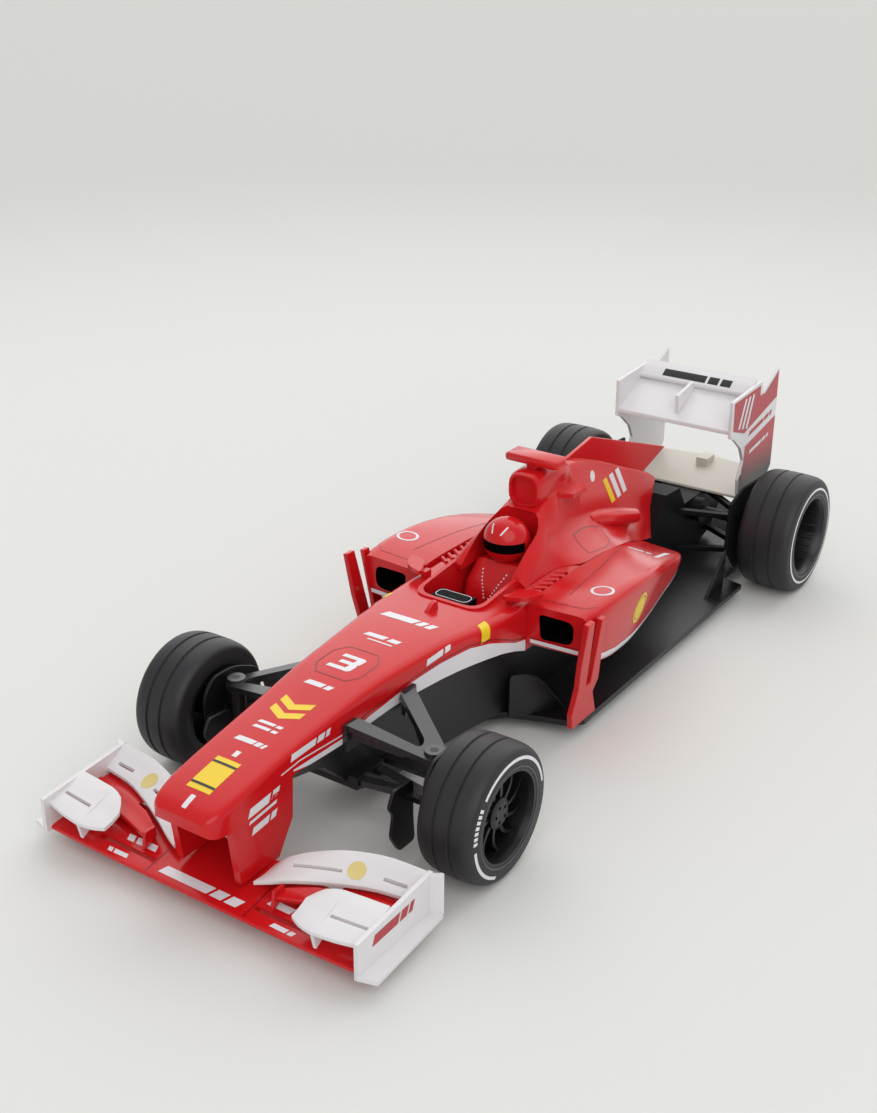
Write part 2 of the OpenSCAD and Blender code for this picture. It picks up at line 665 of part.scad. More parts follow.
// Thin cambered blade between a leading and a trailing edge; the rows run from the endplate inwards
// Columns: y, leading edge x, its height, trailing edge x, its height
function blade_ring(r, t) =
    let (mx = (r[1] + r[3]) / 2, mz = (r[2] + r[4]) / 2 - 0.6)
    ring([[r[1], r[2], 0.3], [r[1], r[2] + t, 0.3], [mx, mz + t, 2], [r[3], r[4] + t, 0.2], [r[3], r[4], 0.2],
        [mx, mz, 2]], 2);
module blade(rows, t, n) {
    loft([for (r = smooth_rows(rows, n)) [r[0], blade_ring(r, t)]], along = "y");
}
second_rows = [
    [front_span, fx + 57, 12.2, fx + 49.6, 13.8], [0.77 * front_span, fx + 60, 12.8, fx + 52.6, 14.2],
    [0.565 * front_span, fx + 63.4, 13, fx + 56.2, 14.2], [0.416 * front_span, fx + 66.4, 12.6, fx + 62, 13.2]
];
flap_rows = [
    [front_span, fx + 46, 15.8, fx + 37, 21.4], [0.82 * front_span, fx + 48, 15.8, fx + 37.8, 21.6],
    [0.624 * front_span, fx + 53, 15.6, fx + 41, 21], [0.446 * front_span, fx + 58.6, 15, fx + 46, 19],
    [0.327 * front_span, fx + 62.4, 13.6, fx + 51, 16.6],
    [0.26 * front_span, fx + 64, wing_deck_z + 0.2, fx + 53, wing_deck_z + 0.4]
];
cascade_rows = [
    [front_span, fx + 73.4, 16, fx + 57, 20.4], [0.758 * front_span, fx + 76, 15.4, fx + 58.6, 20.4],
    [0.669 * front_span, fx + 75, 15.4, fx + 60.6, 19.6], [0.609 * front_span, fx + 73, 15.4, fx + 65.6, 17.6]
];
fence_t = 1.2;
// Upright fin at the inner end of the second element, [x, z]
blade_fin = [[fx + 68, 9.6], [fx + 66.6, 16.4], [fx + 62, 16.4], [fx + 61.6, 12.6]];
module front_blade(side) {
    y = second_rows[3][0];
    color(red) on_side(side) union() {
        blade(second_rows, 1.6, 2);
        side_plate(blade_fin, y - 0.2, y - 0.2 + fence_t);
    }
}
// Slots through a flap and through a cascade, [x, y] of their ends
flap_slot_w = 1.2;
flap_slots = [
    [[fx + 53.5, 0.38 * front_span], [fx + 48.2, 0.62 * front_span]],
    [[fx + 44.2, 0.823 * front_span], [fx + 43.2, 0.95 * front_span]]
];
cascade_slot = [[fx + 68, 0.78 * front_span], [fx + 66.8, 0.98 * front_span]];
module front_flap(side) {
    color(white) on_side(side) difference() {
        blade(flap_rows, 1.5, 3);
        for (p = flap_slots)
            bar(p[0], p[1], flap_slot_w, 0, 40);
    }
}
module cascade(side) {
    fence_y0 = 0.75 * front_span;
    color(white) on_side(side) difference() {
        union() {
            blade(cascade_rows, 1.4, 2);
            side_plate([[fx + 74.4, 9.6], [fx + 76, 16.6], [fx + 58.8, 21.6], [fx + 61, 17.4]],
                fence_y0, fence_y0 + fence_t);
        }
        bar(cascade_slot[0], cascade_slot[1], flap_slot_w, 0, 40);
    }
}
// Front endplate with a foot flange and a curl at its rear edge
plate_front = fx + 75.8;
plate_rear = fx + 36;
plate_foot_z = 6;
foot_w = 6;
foot_t = 1.6;
curl_h = 15;
module front_endplate(side) {
    y1 = front_plate_y;
    x0 = plate_rear;
    x1 = plate_front;
    z0 = plate_foot_z;
    root_y = y1 - 0.5;
    color(white) on_side(side) union() {
        side_plate([[x1, z0], [x1, z0 + 13.6], [x0, z0 + 16.6], [x0, z0]], y1 - plate_t, y1);
        translate([0, 0, z0])
            linear_extrude(height = foot_t)
                polygon([[x1, root_y], [x1 - 1.8, y1 + foot_w], [x0, y1 + foot_w - 2], [x0, root_y]]);
        translate([0, 0, z0 + 1])
            linear_extrude(height = curl_h)
                polygon([[x0 + 2, root_y], [x0 + 1.2, y1 + 1.6], [x0 - 1, y1 + 3.6], [x0 - 2, y1 + 2.8],
                    [x0, root_y]]);
    }
}

// Rear wing. Outline of an endplate, [x, z]
rear_tip_x = rx - rear_overhang;
rear_outline = [
    [rx + 10, rear_wing_z - 4], [rx + 9.6, rear_wing_z - 22], [rx + 5, rear_wing_z - 24],
    [rx - 4, rear_wing_z - 31], [rx - 8, rear_wing_z - 38], [rx - 4, beam_z + 11.5], [rx - 6, beam_z],
    [rx - 38, beam_z], [rear_tip_x, beam_z + 7.5], [rear_tip_x, beam_z + 17.5], [rear_tip_x + 1, rear_wing_z],
    [rx - 26, rear_wing_z - 8], [rx - 24, rear_wing_z - 2]
];
module rear_endplate(side) {
    color(white) on_side(side) side_plate(rear_outline, rear_plate_y - plate_t, rear_plate_y);
}
rear_span = rear_plate_y - plate_t;
main_le = [rx + 9, rear_wing_z - 20.6];
main_te = [rx - 14.6, rear_wing_z - 9];
// Aerofoil between a leading and a trailing edge, bowed upwards by bow
module rear_foil(le, te, t, bow, e) {
    mid = (le + te) / 2 + [0, bow];
    color(white)
        side_plate(ring([[le[0], le[1], 0.4], [le[0], le[1] + 0.7 * t, 0.4], [mid[0], mid[1] + t / 2, e],
            [te[0], te[1] + 0.8, 0], [te[0], te[1], 0], [mid[0], mid[1] - t / 2, e]], 4),
            -rear_span, rear_span);
}
module rear_wing_main() {
    rear_foil(main_le, main_te, 3, -0.1, 6);
}
flap_le = [rx - 12, rear_wing_z - 7.4];
flap_te = [rx - 21, rear_wing_z - 1.4];
module rear_wing_flap() {
    rear_foil(flap_le, flap_te, 2, 0.7, 2);
}
pylon_t = 1.8;
module rear_wing_pylon() {
    p = main_le + [-4, 4.4];
    q = [rx - 10.6, rear_wing_z - 8.2];
    color(white)
        side_plate([p, p + [1, 9], q + [0, 3.8], q], -pylon_t / 2, pylon_t / 2);
}
// Cream beam wing between the endplates, raised in the middle, with a light block behind
beam_front = rx - 8;
beam_rear = rx - 42;
// Columns: y, lift
beam_rows = [[rear_span, 0], [12, 1], [4, 1.4], [-4, 1.4], [-12, 1], [-rear_span, 0]];
function beam_ring(lift) =
    let (z = beam_z)
    ring([[beam_front, z, 0.4], [beam_front, z + 1.4, 0.4], [rx - 24, z + 2.8 + lift, 3],
        [beam_rear, z + 4.4 + lift, 0], [beam_rear, z + 3, 0], [rx - 30, z, 2]], 2);
module beam_wing() {
    color(cream) union() {
        loft([for (r = beam_rows) [r[0], beam_ring(r[1])]], along = "y");
        translate([rx - 38, -3, beam_z + 3]) cube([9, 6, 5.6]);
    }
}

// Gearbox block and rear running gear
gear_half = 11;
bearing_r = 6;
bearing_y = 16;
shaft_r = half_shaft_d / 2;
gear_low_z = waist_z(tail(228)) - 1;
gear_top_z = tail_top[1] - 9;
gear_outline = [
    [tub_end_x, floor_top], [tub_end_x, 33], [tail_x(gear_low_z) - 0.5, gear_low_z],
    [tail_x(gear_top_z) - 0.5, gear_top_z], [cover_end_x - 3, gear_top_z - 1], [rx + 12, beam_z],
    [rx - 30, beam_z], [rx - 30, 22], [rx - 20, floor_top + 3], [rx - 8, floor_top]
];
module gearbox() {
    color(black) difference() {
        union() {
            side_plate(gear_outline, -gear_half, gear_half);
            translate([rx, 0, rear_axle_z]) y_rod(bearing_r, -bearing_y, bearing_y);
        }
        translate([rx, 0, rear_axle_z]) y_rod(shaft_r + shaft_gap, -bearing_y - 1, bearing_y + 1);
    }
}
diffuser_half = floor_rear_half - 9;
strake_t = 1.5;
module diffuser() {
    x0 = rx - 24;
    x1 = rx - 42;
    d = diffuser_half;
    color(black) union() {
        side_plate([[x0, ground_gap], [x0, floor_top], [x1, floor_top + 9], [x1, ground_gap + 9]], -d, d);
        for (u = [-1, -1 / 3, 1 / 3, 1])
            let (y = u * (d - strake_t / 2))
            side_plate([[x0, ground_gap], [x1, ground_gap + 2], [x1, ground_gap + 10], [x0, floor_top - 0.5]],
                y - strake_t / 2, y + strake_t / 2);
    }
}
duct_y = rear_inner_y - 4.6;
duct_t = 1.4;
// Rear wishbones, two legs from the gearbox to one foot on the duct
rear_arm_w = 3.4;
rear_arm_t = 2.5;
rear_roots = [rx + 18, rx - 18];
rear_upper_z = rear_axle_z + shaft_r + 0.6;
rear_lower_z = 12;
module rear_wishbone(side, tip_x, z) {
    color(black) on_side(side)
        intersection() {
            translate([rx - 60, gear_half, z]) cube([120, duct_y - gear_half, rear_arm_t]);
            for (x = rear_roots)
                bar([x, gear_half - 3], [tip_x, duct_y + 1], rear_arm_w, z, rear_arm_t);
        }
}
module rear_duct(side) {
    color(black) on_side(side) difference() {
        side_plate([[rx + 29, 24], [rx + 27, 46], [rx + 14, 50], [rx - 22, 48], [rx - 24, 14], [rx + 16, 10]],
            duct_y, duct_y + duct_t);
        translate([rx, 0, rear_axle_z]) y_rod(shaft_r + 1.5, duct_y - 1, duct_y + duct_t + 1);
    }
}

// Front suspension and steering
kp_r = kingpin_d / 2;
stub_r = stub_d / 2;
eye_r = 3.4;
bracket_w = 6.6;
bracket_t = 1.8;
web_t = 2;
web_h = 8;
web_d = 3.5;
web_stop = 10;
upper_roots = [fx + 11, fx - 20];
lower_roots = [lug_front - 3, lug_rear + 3];
function bracket_y(x) = max(nose_half(x - bracket_w / 2), nose_half(x + bracket_w / 2)) + seam_gap;
module eye_bore(z, h) {
    translate([fx, kp_y, z - 1]) cylinder(r = kp_r + shaft_gap, h = h + 2);
}
// The upper arm slopes down from its roots at the nose to an upright eye round the kingpin
eye_drop = 1.5;
arm_roots = [for (x = upper_roots) [x, bracket_y(x)]];
fold_y = min([for (root = arm_roots) root[1]]);
arm_slope = atan2(root_z - upper_z, kp_y - fold_y);
// A point of the plan view, laid in the sloping plane
function laid(p) = [p[0], (p[1] - fold_y) / cos(arm_slope)];
module sloping() {
    translate([0, fold_y, root_z]) rotate([-arm_slope, 0, 0]) children();
}
module upper_arm(side) {
    roots = [for (root = arm_roots) laid(root)];
    front = roots[0];
    rear = roots[1];
    pin = laid([fx, kp_y]);
    h = bracket_w / 2;
    leg = h - 0.5;
    plate = ring([front + [leg, 0.5], concat(pin + [3.6, 3.2], 3.4), concat(pin + [-3.6, 3.2], 3.4),
        rear + [-leg, 0.5]]);
    window = ring([front + [-leg, -3], concat(pin + [1.8, -5.6], 2), concat(pin + [-2.6, -6.6], 2),
        rear + [leg, -3]]);
    color(black) on_side(side) difference() {
        union() {
            sloping() {
                linear_extrude(height = arm_t)
                    difference() {
                        polygon(plate);
                        polygon(window);
                    }
                for (root = roots)
                    bar(root + [0, 2.2], pin - unit(pin - root) * web_stop, web_t, -web_d, web_d + 0.5);
            }
            for (root = arm_roots)
                translate([root[0] - h, root[1], root_z - web_h])
                    cube([bracket_w, bracket_t, web_h + arm_t - 0.5]);
            translate([fx, kp_y, upper_z - eye_drop]) cylinder(r = eye_r, h = arm_t + 2 * eye_drop);
        }
        eye_bore(upper_z - eye_drop, arm_t + 2 * eye_drop);
    }
}
module lower_arm(side) {
    color(black) on_side(side) difference() {
        union() {
            translate([fx, kp_y, lower_z]) cylinder(r = eye_r, h = arm_t);
            for (x = lower_roots)
                bar([x, lug_half - 2], [fx, kp_y], 4, lower_z, arm_t);
        }
        eye_bore(lower_z, arm_t);
        translate([lug_rear - 5, -lug_half, lower_z - 1])
            cube([lug_front - lug_rear + 10, 2 * lug_half, arm_t + 2]);
    }
}
column_r = 3.2;
column_z0 = lower_z + arm_t + turn_gap;
column_z1 = upper_z - eye_drop - turn_gap;
fence_y = front_inner_y - 4;
duct_wall = 1.4;
boss_r = 4;
stub_end_y = front_track / 2 - 8;
tie_pin_r = 1.2;
module knuckle(side) {
    color(black) on_side(side) union() {
        translate([fx, kp_y, column_z0]) cylinder(r = column_r, h = column_z1 - column_z0);
        translate([fx, kp_y, lower_z]) cylinder(r = kp_r, h = upper_z + arm_t + eye_drop - lower_z);
        translate([fx, 0, front_axle_z]) y_rod(boss_r, kp_y + eye_r + turn_gap, front_inner_y - 1.2);
        translate([fx, 0, front_axle_z]) y_rod(stub_r, kp_y, stub_end_y);
        bar([fx, kp_y], [tie_x - 2, kp_y], 4, column_z0, 2.6);
        translate([tie_x, kp_y, lower_z]) cylinder(r = tie_pin_r, h = column_z0 - lower_z + 1);
    }
}
// Outline of the brake-duct fence, [x, z]
fence_outline = ring([for (p = [
    [13, -2.4, 3], [-17, -2.4, 3], [-18, 10.8, 4], [-4, 17.4, 5], [8, 17.4, 4], [13, 11, 3]])
    [fx + p[0], front_axle_z + p[1], p[2]]], 3);
// Wavy vane ahead of the kingpin, held from the fence by a strut
vane_y = kp_y - 4;
vane_outline = ring([for (p = [
    [19.6, 8.4, 2], [22.6, 2.4, 2], [19.8, -1.4, 2], [21.6, -9.4, 2], [17, -17.2, 2], [7.8, -17.2, 2],
    [8.6, -8, 3], [8.6, 7.4, 2]])
    [fx + p[0], front_axle_z + p[1], p[2]]], 3);
strut_x = fx + 10;
strut_t = 2.4;
module front_duct(side) {
    color(black) on_side(side) difference() {
        union() {
            side_plate(fence_outline, fence_y, fence_y + duct_wall);
            side_plate(vane_outline, vane_y, vane_y + duct_wall);
            translate([strut_x, vane_y + 0.5, front_axle_z + 1]) cube([strut_t, fence_y - vane_y, strut_t]);
        }
        translate([fx, 0, front_axle_z]) y_rod(boss_r + 0.02, fence_y - 1, fence_y + duct_wall + 1);
    }
}
tie_end = 3;
slot_half = steer_arm * 0.03 + tie_pin_r + turn_gap;
module tie_bar() {
    color(black) difference() {
        translate([tie_x - tie_w / 2, -kp_y - tie_end, lower_z]) cube([tie_w, 2 * (kp_y + tie_end), arm_t]);
        for (side = [1, -1])
            translate([tie_x + 0.3 - slot_half, side * kp_y - tie_pin_r - turn_gap, lower_z - 1])
                cube([2 * slot_half, 2 * (tie_pin_r + turn_gap), arm_t + 2]);
    }
}

// Wheels. Tyre section [radius, y] from the seat, inner face at 0, with two shallow grooves
groove_w = 0.7;
groove_d = 0.6;
module tyre(seat, r, w) {
    crown = r - 0.35;
    shoulder = 3.4;
    profile = concat(
        [[seat, 0.4], [seat + 1.6, 0, 0.6], [r - 1.6, 0.6, 1.6], [crown, shoulder, 1.4]],
        [for (g = [0.36, 0.64]) each [[r, w * g - groove_w], [r - groove_d, w * g - groove_w / 2],
            [r - groove_d, w * g + groove_w / 2], [r, w * g + groove_w]]],
        [[crown, w - shoulder, 1.4], [r - 1.6, w - 0.6, 1.6], [seat + 1.6, w, 0.6], [seat, w - 0.4]]);
    rotate([-90, 0, 0]) rotate_extrude($fn = 72) polygon(ring(profile, 4));
}
module front_tyre(side) {
    color(rubber) on_side(side)
        translate([fx, front_inner_y, front_axle_z]) tyre(front_seat_r, front_tyre_r, front_tyre_w);
}
module rear_tyre(side) {
    color(rubber) on_side(side)
        translate([rx, rear_inner_y, rear_axle_z]) tyre(rear_seat_r, rear_tyre_r, rear_tyre_w);
}
// Front rim: barrel, bossed hub with small holes, thin curved spokes
hub_r = 5.6;
hub_recess = 3.6;
hub_hole_r = 0.7;
hub_hole_at = 3;
hub_hole_count = 5;
rim_wall = 1.5;
spoke_w = 1.4;
spoke_y = 14.4;
spoke_t = 3.2;
spoke_sweep = 24;
function spoke_edge(r0, r1, s, n = 6) = [for (k = [0:n])
    let (t = k / n, r = r0 + (r1 - r0) * t, a = spoke_sweep * t * t)
    [r * cos(a) - s * sin(a), r * sin(a) + s * cos(a)]];
function reversed(v) = [for (i = [len(v) - 1:-1:0]) v[i]];
module front_rim(side) {
    seat = front_seat_r;
    w = front_tyre_w;
    bore = stub_r + shaft_gap;
    depth = stub_end_y - front_inner_y + turn_gap;
    lip = seat - rim_wall;
    face = w - hub_recess;
    spoke = concat(spoke_edge(hub_r - 0.6, lip + 0.5, -spoke_w / 2),
        reversed(spoke_edge(hub_r - 0.6, lip + 0.5, spoke_w / 2)));
    color(black) on_side(side)
        translate([fx, front_inner_y, front_axle_z]) rotate([-90, 0, 0]) difference() {
            union() {
                rotate_extrude($fn = 72)
                    polygon([[seat, 0.4], [lip, 0.4], [lip, w - 3], [seat - 0.8, w - 0.4], [seat, w - 0.4]]);
                rotate_extrude()
                    polygon([[bore, 1], [hub_r - 1.6, 1], [hub_r, spoke_y - 2],
                        [hub_r, spoke_y + spoke_t + 0.8], [hub_r - 1.4, face], [0, face],
                        [0, depth], [bore, depth]]);
                for (i = [0:spoke_count - 1])
                    rotate([0, 0, 360 * i / spoke_count])
                        translate([0, 0, spoke_y]) linear_extrude(height = spoke_t) polygon(spoke);
            }
            for (i = [0:hub_hole_count - 1])
                rotate([0, 0, 360 * i / hub_hole_count])
                    translate([hub_hole_at, 0, face - 1.2]) cylinder(r = hub_hole_r, h = 2, $fn = 16);
        }
}
// Deep dished rear rim with its half shaft
shaft_end_y = 5;
dish_r = 7;
module rear_rim(side) {
    seat = rear_seat_r;
    lip = seat - rim_wall;
    w = rear_tyre_w;
    color(black) on_side(side)
        translate([rx, rear_inner_y, rear_axle_z]) rotate([-90, 0, 0]) union() {
            rotate_extrude($fn = 72)
                polygon([[0, 4], [dish_r, 4], [dish_r + 1, 7], [lip, 9], [lip, 0.4], [seat, 0.4],
                    [seat, w - 0.4], [seat - 0.8, w - 0.4], [lip - 0.6, w - 3], [lip - 1.6, 12],
                    [dish_r + 1.4, 9.6], [dish_r, 13], [0, 13]]);
            translate([0, 0, shaft_end_y - rear_inner_y])
                cylinder(r = shaft_r, h = rear_inner_y - shaft_end_y + 6);
        }
}

floor_tray();
chassis_tub();
battery_cover();
nose_shell();
sidepod(1);  // sidepod_left
sidepod(-1);  // sidepod_right
engine_cover();
camera_bar();
shark_fin();
helmet();
visor();
driver_torso();
dash_panel();
pod_post(1);  // pod_post_left
pod_post(-1);  // pod_post_right
mirror_pod(1);  // mirror_left
mirror_pod(-1);  // mirror_right
bargeboard(1);  // bargeboard_left
bargeboard(-1);  // bargeboard_right
front_wing_main();
front_blade(1);  // front_blade_left
front_blade(-1);  // front_blade_right
front_flap(1);  // front_flap_left
front_flap(-1);  // front_flap_right
cascade(1);  // cascade_left
cascade(-1);  // cascade_right
front_endplate(1);  // front_endplate_left
front_endplate(-1);  // front_endplate_right
rear_wing_main();
rear_wing_flap();
rear_wing_pylon();
rear_endplate(1);  // rear_endplate_left
rear_endplate(-1);  // rear_endplate_right
beam_wing();
gearbox();
diffuser();
rear_wishbone(1, rx + 7, rear_upper_z);  // rear_upper_arm_left
rear_wishbone(-1, rx + 7, rear_upper_z);  // rear_upper_arm_right
rear_wishbone(1, rx, rear_lower_z);  // rear_lower_arm_left
rear_wishbone(-1, rx, rear_lower_z);  // rear_lower_arm_right
rear_duct(1);  // rear_duct_left
rear_duct(-1);  // rear_duct_right
upper_arm(1);  // upper_arm_left
upper_arm(-1);  // upper_arm_right
lower_arm(1);  // lower_arm_left
lower_arm(-1);  // lower_arm_right
knuckle(1);  // knuckle_left
knuckle(-1);  // knuckle_right
front_duct(1);  // front_duct_left
front_duct(-1);  // front_duct_right
tie_bar();
front_tyre(1);  // front_tyre_left
front_tyre(-1);  // front_tyre_right
front_rim(1);  // front_rim_left
front_rim(-1);  // front_rim_right
rear_tyre(1);  // rear_tyre_left
rear_tyre(-1);  // rear_tyre_right
rear_rim(1);  // rear_rim_left
rear_rim(-1);  // rear_rim_right
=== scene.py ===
import json
import math

import bmesh
import bpy
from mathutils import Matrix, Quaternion, Vector
from mathutils.bvhtree import BVHTree


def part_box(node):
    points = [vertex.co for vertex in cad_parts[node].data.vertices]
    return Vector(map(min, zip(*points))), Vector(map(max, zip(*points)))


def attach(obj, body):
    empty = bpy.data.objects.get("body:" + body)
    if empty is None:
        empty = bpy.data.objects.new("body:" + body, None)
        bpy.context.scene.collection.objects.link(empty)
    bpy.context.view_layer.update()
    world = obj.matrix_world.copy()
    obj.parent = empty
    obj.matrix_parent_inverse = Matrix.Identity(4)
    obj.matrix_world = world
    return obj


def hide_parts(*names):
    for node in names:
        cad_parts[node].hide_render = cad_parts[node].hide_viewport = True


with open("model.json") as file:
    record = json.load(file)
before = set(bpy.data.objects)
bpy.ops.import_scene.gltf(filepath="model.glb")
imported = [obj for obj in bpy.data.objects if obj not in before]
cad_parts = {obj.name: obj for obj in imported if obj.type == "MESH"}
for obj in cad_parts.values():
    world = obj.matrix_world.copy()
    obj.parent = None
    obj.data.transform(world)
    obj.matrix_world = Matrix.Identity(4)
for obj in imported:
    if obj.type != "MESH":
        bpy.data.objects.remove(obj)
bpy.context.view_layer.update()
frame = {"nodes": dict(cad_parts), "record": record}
nodes = frame["nodes"]
bodyOf = {n: body for body, members in frame["record"]["behaviour"]["bodies"].items() for n in members}
slotOf = {s["node"]: s["material_slot"] for s in frame["record"]["subparts"]}
mm = 0.001
print("frame loaded:", len(nodes), "nodes")

# camera at the photo's viewing angle, the frame is 877 x 1113
photoCamera = {"target": (-0.0451, -0.0675, 0.022), "azimuth": 124.31, "elevation": 24.39, "roll": 0.25,
               "distance": 0.6949, "focalPixels": 1486.8, "longSide": 1113, "sensor": 36.0, "clipStart": 0.01}


def placeCamera(c):
    az, el = math.radians(c["azimuth"]), math.radians(c["elevation"])
    back = Vector((math.sin(az) * math.cos(el), -math.cos(az) * math.cos(el), math.sin(el)))
    data = bpy.data.cameras.new("camera")
    data.sensor_width = c["sensor"]
    data.lens = c["focalPixels"] / c["longSide"] * c["sensor"]
    data.clip_start = c["clipStart"]
    cam = bpy.data.objects.new("camera", data)
    bpy.context.scene.collection.objects.link(cam)
    cam.location = Vector(c["target"]) + back * c["distance"]
    turn = Quaternion((0, 0, 1), math.radians(c["roll"]))
    cam.rotation_mode = "QUATERNION"
    cam.rotation_quaternion = (-back).to_track_quat("-Z", "Y") @ turn
    bpy.context.scene.camera = cam


placeCamera(photoCamera)
bpy.context.scene.view_settings.view_transform = "Standard"
print("camera placed")


# materials
def hexColor(text):
    parts = [int(text[i:i + 2], 16) / 255 for i in (1, 3, 5)]
    return tuple(p / 12.92 if p <= 0.04045 else ((p + 0.055) / 1.055) ** 2.4 for p in parts) + (1.0,)


def addNode(tree, kind, links=(), **settings):
    node = tree.nodes.new(kind)
    for key, value in settings.items():
        if key.startswith("in_"):
            name = key[3:].replace("_", " ")
            socket = node.inputs[int(name)] if name.isdigit() else node.inputs[name]
            socket.default_value = value
        else:
            setattr(node, key, value)
    for source, target in links:
        tree.links.new(source, node.inputs[target])
    return node


def newMaterial(name):
    mat = bpy.data.materials.new(name)
    mat.use_nodes = True
    tree = mat.node_tree
    shader = tree.nodes["Principled BSDF"]
    where = addNode(tree, "ShaderNodeTexCoord").outputs["Object"]
    return mat, tree, shader, where


# noise detail, how far the grain moves the roughness, and its height as a share of its width
grainLook = {"mottleDetail": 3.0, "grainDetail": 2.0, "smoothest": 0.85, "roughest": 1.2, "height": 0.1}


def mouldedPlastic(name, color, shade, rough, grainMm, grainDepth, mottleMm, ior=1.5):
    mat, tree, shader, where = newMaterial(name)
    shader.inputs["IOR"].default_value = ior
    mottle = addNode(tree, "ShaderNodeTexNoise", [(where, "Vector")], in_Scale=1 / (mottleMm * mm),
                     in_Detail=grainLook["mottleDetail"])
    mix = addNode(tree, "ShaderNodeMix", [(mottle.outputs["Fac"], "Factor")], data_type="RGBA",
                  in_6=hexColor(color), in_7=hexColor(shade))
    tree.links.new(mix.outputs[2], shader.inputs["Base Color"])
    grain = addNode(tree, "ShaderNodeTexNoise", [(where, "Vector")], in_Scale=1 / (grainMm * mm),
                    in_Detail=grainLook["grainDetail"])
    gloss = addNode(tree, "ShaderNodeMapRange", [(grain.outputs["Fac"], "Value")],
                    in_To_Min=rough * grainLook["smoothest"], in_To_Max=rough * grainLook["roughest"])
    tree.links.new(gloss.outputs["Result"], shader.inputs["Roughness"])
    bump = addNode(tree, "ShaderNodeBump", [(grain.outputs["Fac"], "Height")],
                   in_Strength=grainDepth, in_Distance=grainMm * mm * grainLook["height"])
    tree.links.new(bump.outputs["Normal"], shader.inputs["Normal"])
    return mat


def printInk(name, color, shade, rough=0.3):
    return mouldedPlastic(name, color, shade, rough, grainMm=1.5, grainDepth=0.06, mottleMm=30)


# each has a colour and a second tone, roughness, grain in mm, depth of the grain, mottle in mm
# gloss ABS from a polished mould: deep colour, clear reflections, a faint ripple about 3 mm wide
redAbs = mouldedPlastic("gloss red ABS", "#d0181c", "#c71319", 0.18, 3.0, 0.025, 40, ior=1.42)
whiteAbs = mouldedPlastic("gloss white ABS", "#e3e1e2", "#dcdadc", 0.24, 3.0, 0.05, 40)
pianoAbs = mouldedPlastic("gloss black ABS", "#060607", "#09090a", 0.25, 3.0, 0.04, 40, ior=1.08)
# ABS from a plain mould: the same resin with a softer shine
creamAbs = mouldedPlastic("satin cream ABS", "#d8d0c4", "#d0c8ba", 0.35, 1.0, 0.15, 30)
# polypropylene from a spark-eroded mould: satin to matt black, grain drawn at 0.6 mm so that it shows
blackPp = mouldedPlastic("satin black polypropylene", "#0d0d10", "#131316", 0.36, 0.6, 0.25, 25)
# near-black for the red walls inside the pod mouths: painted shade of the hollow
mouthShadePp = mouldedPlastic("painted shade in the pod mouths", "#060607", "#09090a", 0.7, 0.6, 0.25, 25, ior=1.08)
dullPp = mouldedPlastic("dull black polypropylene", "#0f0f12", "#141417", 0.5, 0.6, 0.15, 25, ior=1.25)
# nylon arms, stiffer and glossier than the tub
blackNylon = mouldedPlastic("satin black nylon", "#1a1a1d", "#212124", 0.28, 2.0, 0.02, 25, ior=1.75)
# soft PVC tyre: matt, with a fine dry bloom
tyrePvc = mouldedPlastic("matt black PVC", "#1e1e21", "#27272a", 0.5, 0.7, 0.3, 12)
# pad-printed ink and vinyl film, slightly flatter than the shell under it
whiteInk = printInk("white print", "#e6e4e8", "#dedce0")
yellowInk = printInk("yellow print", "#f2cf1c", "#eac514")
paleInk = printInk("pale yellow print", "#e0cc84", "#d9c57c")
redInk = printInk("red print", "#b8343f", "#b02e3a", 0.34)
darkRedInk = printInk("dark red print", "#7c0d14", "#720b12")
# grey for the line by the tyre bead: a painted highlight of the rim's edge, not print
beadHighlightInk = printInk("painted highlight by the bead", "#6a6a6e", "#626266", 0.35)
blackInk = printInk("black print", "#141416", "#1a1a1c")
slotMaterial = {"red_shell": redAbs, "white_shell": whiteAbs, "black_plastic": blackPp,
                "black_gloss": pianoAbs, "cream_plastic": creamAbs, "tyre": tyrePvc}
familyMaterial = {"upper_arm": blackNylon, "lower_arm": blackNylon, "gearbox": dullPp, "rear_duct": dullPp,
                  "rear_upper_arm": dullPp, "rear_lower_arm": dullPp}
print("materials made")


# copies of the solids with joined facets, smooth faces and softened edges
def addPiece(name, mesh, material, node):
    mesh.materials.clear()
    mesh.materials.append(material)
    obj = bpy.data.objects.new(name, mesh)
    bpy.context.scene.collection.objects.link(obj)
    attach(obj, bodyOf[node])
    return obj


# mm that welds points, shortest edge kept in mm, degrees of a flat joint, segments of an edge round
joinSizes = {"weld": 0.004, "shortest": 0.002, "flatAngle": 0.5, "edgeSegments": 2}


def solidCopy(node, material, smoothAngle, bevel):
    mesh = nodes[node].data.copy()
    stored = mesh.attributes.get("custom_normal")  # normals that belong to the unjoined facets
    if stored:
        mesh.attributes.remove(stored)
    bm = bmesh.new()
    bm.from_mesh(mesh)
    bmesh.ops.remove_doubles(bm, verts=bm.verts, dist=joinSizes["weld"] * mm)
    bmesh.ops.dissolve_degenerate(bm, edges=bm.edges, dist=joinSizes["shortest"] * mm)
    if bevel:
        bmesh.ops.dissolve_limit(bm, angle_limit=math.radians(joinSizes["flatAngle"]), verts=bm.verts,
                                 edges=bm.edges)
    bm.to_mesh(mesh)
    bm.free()
    mesh.shade_smooth()
    mesh.set_sharp_from_angle(angle=math.radians(smoothAngle))
    obj = addPiece(node + "_shell", mesh, material, node)
    if bevel:
        mod = obj.modifiers.new("edge", "BEVEL")
        mod.width = bevel * mm
        mod.segments = joinSizes["edgeSegments"]
        mod.limit_method = "ANGLE"
        mod.angle_limit = math.radians(smoothAngle)
        mod.harden_normals = True
    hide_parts(node)
    return obj


